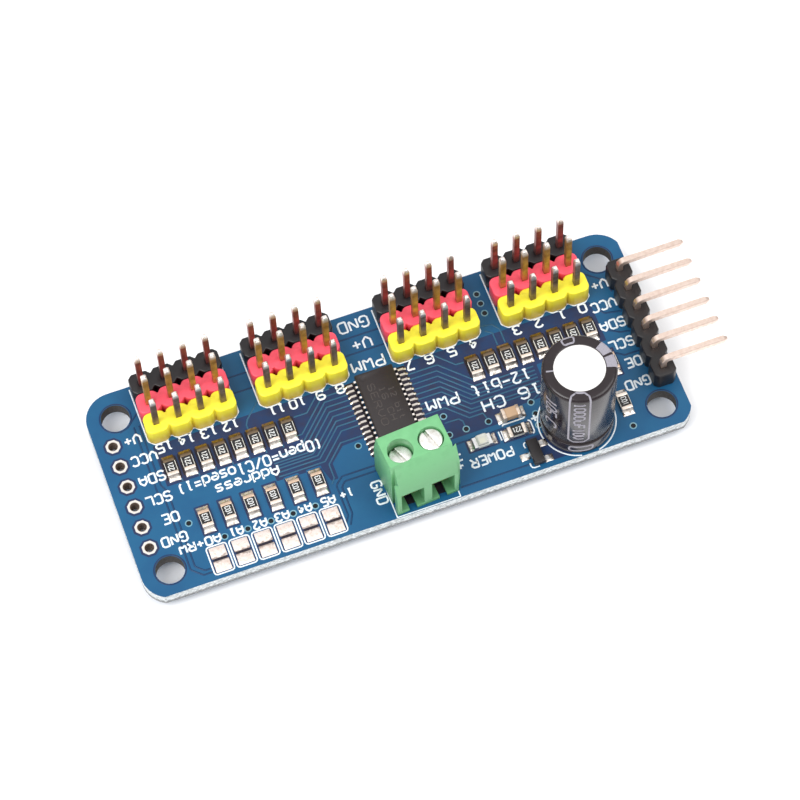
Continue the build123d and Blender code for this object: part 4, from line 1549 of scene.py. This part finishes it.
# --- screw terminal --------------------------------------------------------------------------
@dataclass
class ScrewTerminal:
    """Green two-pole block with its clamps and screws."""

    at: Point = (0.12 * MM, -8.72 * MM)
    yaw: float = 4.0
    pole: float = 1.75 * MM
    edge: float = 0.035 * MM
    screw_edge: float = 0.05 * MM

    def axis(self, side: int) -> Point:
        """The upright axis of one pole's screw."""
        return (self.at[0] + side * self.pole * cos(radians(self.yaw)),
                self.at[1] + side * self.pole * sin(radians(self.yaw)))

    def build(self) -> None:
        """Build the block and dress what is inside it."""
        wells = (self.axis(-1), self.axis(1))
        # painted shade: the block darkens towards the board and down its screw wells
        green = BoredPlastic("green_moulding", "#6fb37b", "#3a744a", 0.4, 0.14 * MM, 0.008 * MM,
                             (1.6 * MM, 9.7 * MM), 0.6, wells)
        recast("terminal_housing", "terminal_block", green, Slot.GREEN, self.edge, 3)
        for name, side in (("left", -1), ("right", 1)):
            finish = TurnedSteel(f"{name}_screw_steel", "#f3f1ee", "#c8c0b6", self.axis(side))
            recast(f"{name}_terminal_screw", f"{name}_slotted_screw", finish, Slot.SCREW,
                   self.screw_edge, body=f"{name}_screw")
            coat(f"{name}_terminal_contact", BRASS)
            coat(f"{name}_clamp_plate", CLAMP)


# --- electrolytic capacitor ------------------------------------------------------------------
@dataclass
class FilterCapacitor:
    """Sleeved can with its printed marks."""

    ribbons: RibbonTree
    font: StrokeFont
    at: Point = (18.65 * MM, -8.15 * MM)
    radius: float = 4.0 * MM
    foot: float = 1.9 * MM
    top: float = 13.9 * MM
    sleeve: float = 0.1 * MM
    disc: float = 2.76 * MM
    bead: tuple = (3.5 * MM, 4.3 * MM)
    bead_depth: float = 0.35 * MM
    shoulder: float = 0.45 * MM
    print_depth: float = 0.012 * MM
    print_width: float = 0.21 * MM
    stripe_turns: Point = (111.0, 83.0)
    strands: int = 8
    strand_pitch: float = 0.2

    def build(self) -> None:
        """Build the sleeve, the bare top and the print."""
        self.shrunk_sleeve()
        self.printed_marks()
        coat("capacitor_can", ALUMINIUM)
        coat("capacitor_bung", RUBBER)
        coat("capacitor_leads", LEAD)
        coat("capacitor_winding", FOIL)

    def _side(self, inset: float) -> list[Point]:
        """Half section of the can's wall, from its foot to its top edge.

        Args:
            inset: distance in from the sleeve's outer face.

        Returns:
            Radius and height of each point.
        """
        r, low, high = self.radius - inset, self.bead[0], self.bead[1]
        line = [(r, self.foot + inset), (r, low - 0.1 * MM)]
        for i in range(9):
            share = i / 8
            dip = self.bead_depth * sin(pi * share) ** 2
            line.append((r - dip, low + (high - low) * share))
        bend = self.shoulder - inset / 2
        for i in range(7):
            turn = pi / 2 * i / 6
            line.append((r - bend + bend * cos(turn), self.top - inset - bend + bend * sin(turn)))
        return line

    def shrunk_sleeve(self) -> None:
        """The sleeve that wraps over the can's shoulder."""
        outer, inner = self._side(0.0), self._side(self.sleeve)
        lip = self.disc
        rim = [(lip + 0.12 * MM, self.top), (lip, self.top - 0.04 * MM),
               (lip, self.top - self.sleeve)]
        foot = [(self.radius - 0.6 * MM, self.foot + self.sleeve),
                (self.radius - 0.6 * MM, self.foot)]
        piece = lathe("shrink_sleeve", outer + rim + inner[::-1] + foot, self.at, 112)
        dressed(piece, SLEEVE, Slot.SLEEVE, nodes=["capacitor_sleeve"])

    def _on_side(self, u: float, v: float, lift: float) -> Vector:
        """A point on the sleeve's wall, shoulder and rim.

        Args:
            u: arc length round the wall, from straight front, to the right.
            v: height above the board's underside; above the shoulder it runs inwards.
            lift: distance out of the surface.

        Returns:
            The point in the frame.
        """
        turn = u / self.radius - pi / 2
        bend, knee = self.shoulder, self.top - self.shoulder
        over = v - knee
        quarter = bend * pi / 2
        if over <= 0:
            r, z, lean = self.radius, v, 0.0
        elif over <= quarter:
            lean = over / bend
            r, z = self.radius - bend + bend * cos(lean), knee + bend * sin(lean)
        else:
            lean = pi / 2
            r, z = self.radius - bend - (over - quarter), self.top
        r += lift * cos(lean)
        z = min(z + lift * sin(lean), self.top + lift)
        return Vector((self.at[0] + r * cos(turn), self.at[1] + r * sin(turn), z))

    @staticmethod
    def _finely(line: Sequence[Point], step: float = 0.08) -> list[Point]:
        """A line with points added between its own.

        Args:
            line: the line.
            step: no run is longer than this.

        Returns:
            The finer line.
        """
        out = [line[0]]
        for (x0, y0), (x1, y1) in zip(line, line[1:]):
            parts = max(1, int(max(abs(x1 - x0), abs(y1 - y0)) / step))
            out += [(x0 + (x1 - x0) * i / parts, y0 + (y1 - y0) * i / parts)
                    for i in range(1, parts + 1)]
        return out

    def mark_lines(self) -> list[list[Point]]:
        """The print laid flat: arc length and height in millimetres."""
        knee = (self.top - self.shoulder) / MM
        front, back, tick, left = (radians(turn) * self.radius / MM
                                   for turn in (-20.0, 180.0, 257.0, -68.0))
        lines = [self._stadium(front, 9.6, 2.2, 10.3)]
        lines += self.font.strokes(Label("1000uF", front, 10.5, 5.6, 1.1, -90.0))
        lines += self.font.strokes(Label("10V", front, 6.3, 2.2, 1.1, -90.0))
        lines += [self._stadium(front + 0.35, 2.75, 2.6, 0.9)]
        lines.append(self._stadium(back, knee + 0.85, 1.5, 0.75))
        lines.append([(tick, knee + 0.7), (tick, knee + 1.5)])
        lines += self.font.strokes(Label("105", left, 10.2, 3.2, 1.5, -90.0))
        lines += self.font.strokes(Label("C", left, 6.6, 1.1, 1.5, -90.0))
        return [self._finely(line) for line in lines]

    @staticmethod
    def _stadium(u: float, v: float, width: float, height: float) -> list[Point]:
        """A closed rectangle with its corners cut off.

        Args:
            u: arc length of its middle.
            v: height of its middle.
            width: its width.
            height: its height.

        Returns:
            The line, closed.
        """
        cut = min(width, height) * 0.22
        a, b = width / 2, height / 2
        corners = [(-a + cut, -b), (a - cut, -b), (a, -b + cut), (a, b - cut), (a - cut, b),
                   (-a + cut, b), (-a, b - cut), (-a, -b + cut), (-a + cut, -b)]
        return [(u + x, v + y) for x, y in corners]

    def _bent(self, piece: bpy.types.Object) -> bpy.types.Object:
        """Bend a flat print round the sleeve.

        Args:
            piece: the flat print; its own mesh is changed.

        Returns:
            The same piece.
        """
        for vertex in piece.data.vertices:
            u, v, lift = vertex.co
            vertex.co = self._on_side(u, v, lift + self.print_depth * 0.55)
        return piece

    def printed_marks(self) -> None:
        """Lettering, frames and the polarity stripe."""
        sizes = (self.print_width, self.print_depth, 0.05 * MM)
        marks = self.ribbons.draw("sleeve_print", self.mark_lines(), 0.0, sizes, SLEEVE_INK)
        dressed(self._bent(marks), SLEEVE_INK, Slot.SLEEVE)
        knee, blocks = (self.top - self.shoulder) / MM, []
        for turn in self.stripe_turns:
            for strand in range(self.strands):
                middle = (strand - (self.strands - 1) / 2) * self.strand_pitch
                u = radians(turn) * self.radius / MM + middle
                blocks.append(self._finely([(u, knee - 1.6), (u, knee + 1.42)]))
        stripe = self.ribbons.draw("polarity_blocks", blocks, 0.0, sizes, SLEEVE_INK)
        dressed(self._bent(stripe), SLEEVE_INK, Slot.SLEEVE)


# --- driver chip -----------------------------------------------------------------------------
@dataclass
class DriverChip:
    """Twenty-eight lead driver in moulded epoxy."""

    ribbons: RibbonTree
    font: StrokeFont
    edge: float = 0.04 * MM

    def build(self) -> None:
        """Build the body, its faint marks and its leads."""
        recast("driver_chip_body", "driver_chip_moulding", EPOXY, Slot.EPOXY, self.edge)
        coat("driver_chip_leads", WINGS)
        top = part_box("driver_chip_body")[1].z + 0.002 * MM
        lines = []
        for text, x, y, width, height in (("SERVO", -0.9, 0.6, 5.2, 0.75),
                                          ("16 CH", 0.15, 0.4, 4.2, 0.65),
                                          ("12 bit", 1.1, 0.2, 4.0, 0.6)):
            lines += self.font.strokes(Label(text, x, y, width, height, -90.0))
        sizes = (0.1 * MM, 0.004 * MM, 0.03 * MM)
        marks = self.ribbons.draw("chip_marking", lines, top, sizes, ETCHED)
        dressed(marks, ETCHED, Slot.EPOXY)


# --- small parts -----------------------------------------------------------------------------
@dataclass
class SmallParts:
    """Resistors, ceramic capacitor, lamp and transistor. Flat places are in millimetres."""

    ribbons: RibbonTree
    scatter: ScatterTree
    font: StrokeFont
    series_x0: tuple = (-24.13, 10.6)
    series_pitch: float = 1.905
    series_y: float = 1.7
    pull_x0: float = -22.54
    pull_pitch: float = 2.54
    pull_y: float = -5.35
    extra_pulls: tuple = ((24.2, -8.0), (24.7, -3.0), (22.0, -3.0))
    lamp_resistor: Point = (12.15, -7.2)
    ceramic: Point = (12.2, -5.1)
    lamp: Point = (8.2, -7.05)
    transistor: Point = (13.05, -10.35)
    code_size: Point = (0.95, 0.55)
    edge: float = 0.05 * MM
    cap_edge: float = 0.04 * MM

    def series(self) -> list[Point]:
        """Places of the sixteen channel resistors."""
        return [(x0 + i * self.series_pitch, self.series_y)
                for x0 in self.series_x0 for i in range(8)]

    def pulls(self) -> list[Point]:
        """Places of the address resistors and their like."""
        row = [(self.pull_x0 + i * self.pull_pitch, self.pull_y) for i in range(6)]
        return row + list(self.extra_pulls)

    def build(self) -> None:
        """Build and dress every small part."""
        for family in ("series", "pull"):
            coat(f"{family}_resistor_bodies", CERAMIC)
            coat(f"{family}_resistor_glaze", GLAZE)
            recast(f"{family}_resistor_ends", f"{family}_resistor_caps", CAPPED[family],
                   Slot.END, self.cap_edge)
        self.codes()
        self.fillets()
        self.rest()

    def codes(self) -> None:
        """Figures printed on the resistors."""
        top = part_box("series_resistor_glaze")[1].z + 0.003 * MM
        lines = []
        marked = [("221", at, 90.0) for at in self.series()]
        marked += [("103", at, 90.0) for at in self.pulls()] + [("221", self.lamp_resistor, 180.0)]
        for code, at, turn in marked:
            lines += self.font.strokes(Label(code, *at, *self.code_size, turn))
        sizes = (0.1 * MM, 0.006 * MM, 0.03 * MM)
        codes = self.ribbons.draw("resistor_codes", lines, top, sizes, CODE_INK)
        dressed(codes, CODE_INK, Slot.GLAZE)
        edges = [[(x + side * 0.595, y - 0.6), (x + side * 0.595, y + 0.6)]
                 for x, y in self.series() + self.pulls() for side in (-1, 1)]
        sizes = (0.06 * MM, 0.006 * MM, 0.0)
        rims = self.ribbons.draw("resistor_side_edges", edges, top, sizes, CERAMIC, 0.0)
        dressed(rims, CERAMIC, Slot.CERAMIC)

    @staticmethod
    def _fillet_stamp() -> bpy.types.Object:
        """One pad with its solder, hollow towards the part's end and rounded at its rim.

        Returns:
            A stamp at the origin whose part lies towards -X.
        """
        section = [(-0.38, 0.05), (0.0, 0.42), (0.07, 0.33), (0.16, 0.22), (0.3, 0.13),
                   (0.45, 0.085), (0.56, 0.06), (0.6, 0.0)]
        across = [(-0.675, 0.0), (-0.6, 0.82), (-0.35, 1.0), (0.35, 1.0), (0.6, 0.82),
                  (0.675, 0.0)]
        shape = bmesh.new()
        grid = [[shape.verts.new((x * MM, y * MM, max(z * rise, 0.0) * MM))
                 for y, rise in across] for x, z in section]
        for one, two in zip(grid, grid[1:]):
            for i in range(len(across) - 1):
                shape.faces.new((one[i], one[i + 1], two[i + 1], two[i]))
        back, front = grid[0], grid[-1]
        rim = [row[0] for row in grid] + front[1:] + [row[-1] for row in grid[-2::-1]]
        rim += back[-2:0:-1]
        shape.faces.new(rim)
        piece = from_bmesh("fillet_stamp", shape)
        smooth(piece, 60.0)
        return piece

    @staticmethod
    def _toe_stamp(width: float, length: float) -> bpy.types.Object:
        """Solder in front of one lead's toe, which points to +X.

        Args:
            width: width of the pad.
            length: length of the pad past the toe.

        Returns:
            A stamp at the origin.
        """
        shape = bmesh.new()
        section = [(-0.55, 0.0), (-0.5, 0.05), (0.0, 0.13), (length * 0.4, 0.09),
                   (length, 0.045), (length + 0.04, 0.0)]
        rows = [[shape.verts.new((x * MM, side * width / 2 * MM, z * MM)) for x, z in section]
                for side in (-1, -0.7, 0.7, 1)]
        for row in (rows[0], rows[-1]):
            for vertex in row:
                vertex.co.z *= 0.45
        for one, two in zip(rows, rows[1:]):
            for i in range(len(section) - 1):
                shape.faces.new((one[i], one[i + 1], two[i + 1], two[i]))
        for row in (rows[0], rows[-1]):
            shape.faces.new(row)
        shape.faces.new([row[0] for row in rows] + [row[-1] for row in rows[::-1]])
        bmesh.ops.remove_doubles(shape, verts=shape.verts, dist=1e-7)
        piece = from_bmesh("toe_stamp", shape)
        smooth(piece, 50.0)
        return piece

    def _scattered(self, name: str, stamp: bpy.types.Object, spots: list, finish: Finish,
                   nodes: Sequence[str] = ()) -> None:
        """Dress one solder piece.

        Args:
            name: name of the piece.
            stamp: the shape that is repeated; it is used up.
            spots: the places.
            finish: its finish.
            nodes: CAD nodes that it stands for.
        """
        piece = self.scatter.spread(name, stamp, spots, finish)
        dressed(piece, finish, Slot.SOLDER, nodes=nodes)

    def fillets(self) -> None:
        """Solder at the ends of every two-ended part and before every lead."""
        rng = random.Random(7)
        near, far = [], []
        reach, top = 1.0 * MM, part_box("circuit_board")[1].z
        places = [(x, y, 90.0) for x, y in self.series() + self.pulls()]
        places += [(*at, 0.0) for at in (self.lamp_resistor, self.ceramic, self.lamp)]
        for x, y, turn in places:
            for end in (0.0, 180.0):
                way = radians(turn + end)
                shaded = turn + end == 90.0 and y == self.series_y
                (far if shaded else near).append((
                    x * MM + reach * cos(way), y * MM + reach * sin(way), top, way,
                    rng.uniform(0.96, 1.03)))
        self._scattered("solder_fillets", self._fillet_stamp(), near, SOLDER,
                        ["surface_solder"])
        self._scattered("shaded_solder_fillets", self._fillet_stamp(), far, SHADED_SOLDER)
        rows = [(i - 6.5) * 0.65 for i in range(14)]
        toes = [(side * 3.28 * MM, y * MM, top, 0.0 if side > 0 else pi, 1.0)
                for side in (-1, 1) for y in rows]
        self._scattered("chip_lead_solder", self._toe_stamp(0.26, 0.24), toes, SOLDER)
        x, y = self.transistor
        toes = [((x + side * 1.2) * MM, (y + shift) * MM, top, 0.0 if side > 0 else pi, 1.0)
                for side, shift in ((1, -0.95), (1, 0.95), (-1, 0.0))]
        self._scattered("transistor_lead_solder", self._toe_stamp(0.8, 0.45), toes, SOLDER)

    def rest(self) -> None:
        """Ceramic capacitor, lamp, transistor and joints."""
        recast("ceramic_capacitor_body", "ceramic_capacitor_block", BROWN, Slot.BROWN, self.edge)
        recast("ceramic_capacitor_ends", "ceramic_capacitor_caps", END, Slot.END, self.edge)
        coat("power_lamp_base", WHITE)
        coat("power_lamp_ends", LEAD)
        recast("power_lamp_lens", "power_lamp_cover", LENS, Slot.LENS, self.edge)
        self.lamp_die()
        recast("transistor_body", "transistor_moulding", BLACK_EPOXY, Slot.EPOXY, self.cap_edge)
        coat("transistor_leads", LEAD)
        coat("through_hole_solder", SOLDER)

    def lamp_die(self) -> None:
        """The light-giving chip on its gilt land, seen through the cover."""
        low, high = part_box("power_lamp_lens")
        shape = bmesh.new()
        for wide, tall in ((0.6 * MM, 0.03 * MM), (0.26 * MM, 0.16 * MM)):
            centre = (low + high) / 2
            centre.z = low.z + tall / 2 + 0.002 * MM
            size = Matrix.Diagonal((wide, wide, tall, 1.0))
            bmesh.ops.create_cube(shape, size=1.0, matrix=Matrix.Translation(centre) @ size)
        bmesh.ops.bevel(shape, geom=shape.edges, offset=0.01 * MM, segments=1, affect="EDGES")
        dressed(from_bmesh("power_lamp_die", shape), DIE, Slot.END)


# --- studio ----------------------------------------------------------------------------------
@dataclass
class Studio:
    """Pale floor, soft light and the camera."""

    lens: float = 150.47
    sensor: float = 36.0
    eye: tuple = (-47.035 * MM, -154.933 * MM, 324.386 * MM)
    aim: tuple = (1.652 * MM, 0.831 * MM, 1.6 * MM)
    roll: float = -2.858
    floor_radius: float = 1.6
    zenith: float = 1.15
    horizon: float = 0.33
    panels: tuple = (("ceiling_panel", (-0.34, -0.1, 0.52), 0.35, 2.4),
                     ("side_panel", (0.3, -0.16, 0.5), 0.4, 1.25))

    def build(self) -> None:
        """Lay the floor, hang the lights and set the camera."""
        self.floor()
        self.lights()
        self.camera()
        bpy.context.scene.view_settings.view_transform = "Standard"

    def floor(self) -> None:
        """A wide flat sheet under the lowest pin."""
        height = CAD_BOX[0].z
        outline = [(0.0, height), (0.5, height), (1.0, height), (self.floor_radius, height),
                   (self.floor_radius, height - 0.002), (0.0, height - 0.002)]
        sheet = lathe("studio_floor", outline, (0.0, 0.0), 64)
        sheet.data.materials.append(PAPER.material())

    def _panel(self, name: str, place: tuple, size: float, power: float) -> None:
        """Hang a square soft light that faces the board.

        Args:
            name: name of the light.
            place: its middle in metres.
            size: its side in metres.
            power: its power in watts.
        """
        light = bpy.data.lights.new(name, "AREA")
        light.size = size
        light.energy = power
        lamp = bpy.data.objects.new(name, light)
        bpy.context.scene.collection.objects.link(lamp)
        lamp.location = place
        lamp.rotation_mode = "QUATERNION"
        lamp.rotation_quaternion = (-Vector(place)).to_track_quat("-Z", "Y")

    def lights(self) -> None:
        """A bright ceiling over darker walls, with two soft panels; the camera sees white."""
        world = bpy.data.worlds.new("white_room")
        bpy.context.scene.world = world
        world.use_nodes = True
        graph = Graph(world.node_tree)
        world.node_tree.nodes.clear()
        way = graph.node("ShaderNodeTexCoord")["Generated"]
        up = graph.node("ShaderNodeSeparateXYZ", inputs={"Vector": way})["Z"]
        room = up.high(0.0) * (self.zenith - self.horizon) + self.horizon
        seen = graph.node("ShaderNodeLightPath")["Is Camera Ray"]
        glow = graph.node("ShaderNodeBackground", inputs={"Color": linear("#ffffff"),
                                                          "Strength": room.high(seen)})[0]
        graph.node("ShaderNodeOutputWorld", inputs={"Surface": glow})
        for panel in self.panels:
            self._panel(*panel)

    def camera(self) -> None:
        """A long lens looking down at the parts side."""
        data = bpy.data.cameras.new("camera")
        data.lens = self.lens
        data.sensor_width = self.sensor
        data.clip_start, data.clip_end = 0.01, 20.0
        camera = bpy.data.objects.new("camera", data)
        bpy.context.scene.collection.objects.link(camera)
        look = (Vector(self.aim) - Vector(self.eye)).to_track_quat("-Z", "Y")
        twist = Matrix.Rotation(radians(self.roll), 4, "Z")
        camera.matrix_world = Matrix.Translation(self.eye) @ look.to_matrix().to_4x4() @ twist
        bpy.context.scene.camera = camera


def main() -> None:
    """Build every sub-assembly."""
    logging.basicConfig(level=logging.INFO, format="%(name)s %(message)s")
    ribbons, plates, scatter, font = RibbonTree(), PlateTree(), ScatterTree(), StrokeFont()
    parts = [
        CircuitBoard(ribbons, plates, scatter, font),
        ServoHeaders(),
        ControlHeader(),
        ScrewTerminal(),
        FilterCapacitor(ribbons, font),
        DriverChip(ribbons, font),
        SmallParts(ribbons, scatter, font),
        Studio(),
    ]
    for part in parts:
        part.build()


if __name__ == "__main__":
    main()
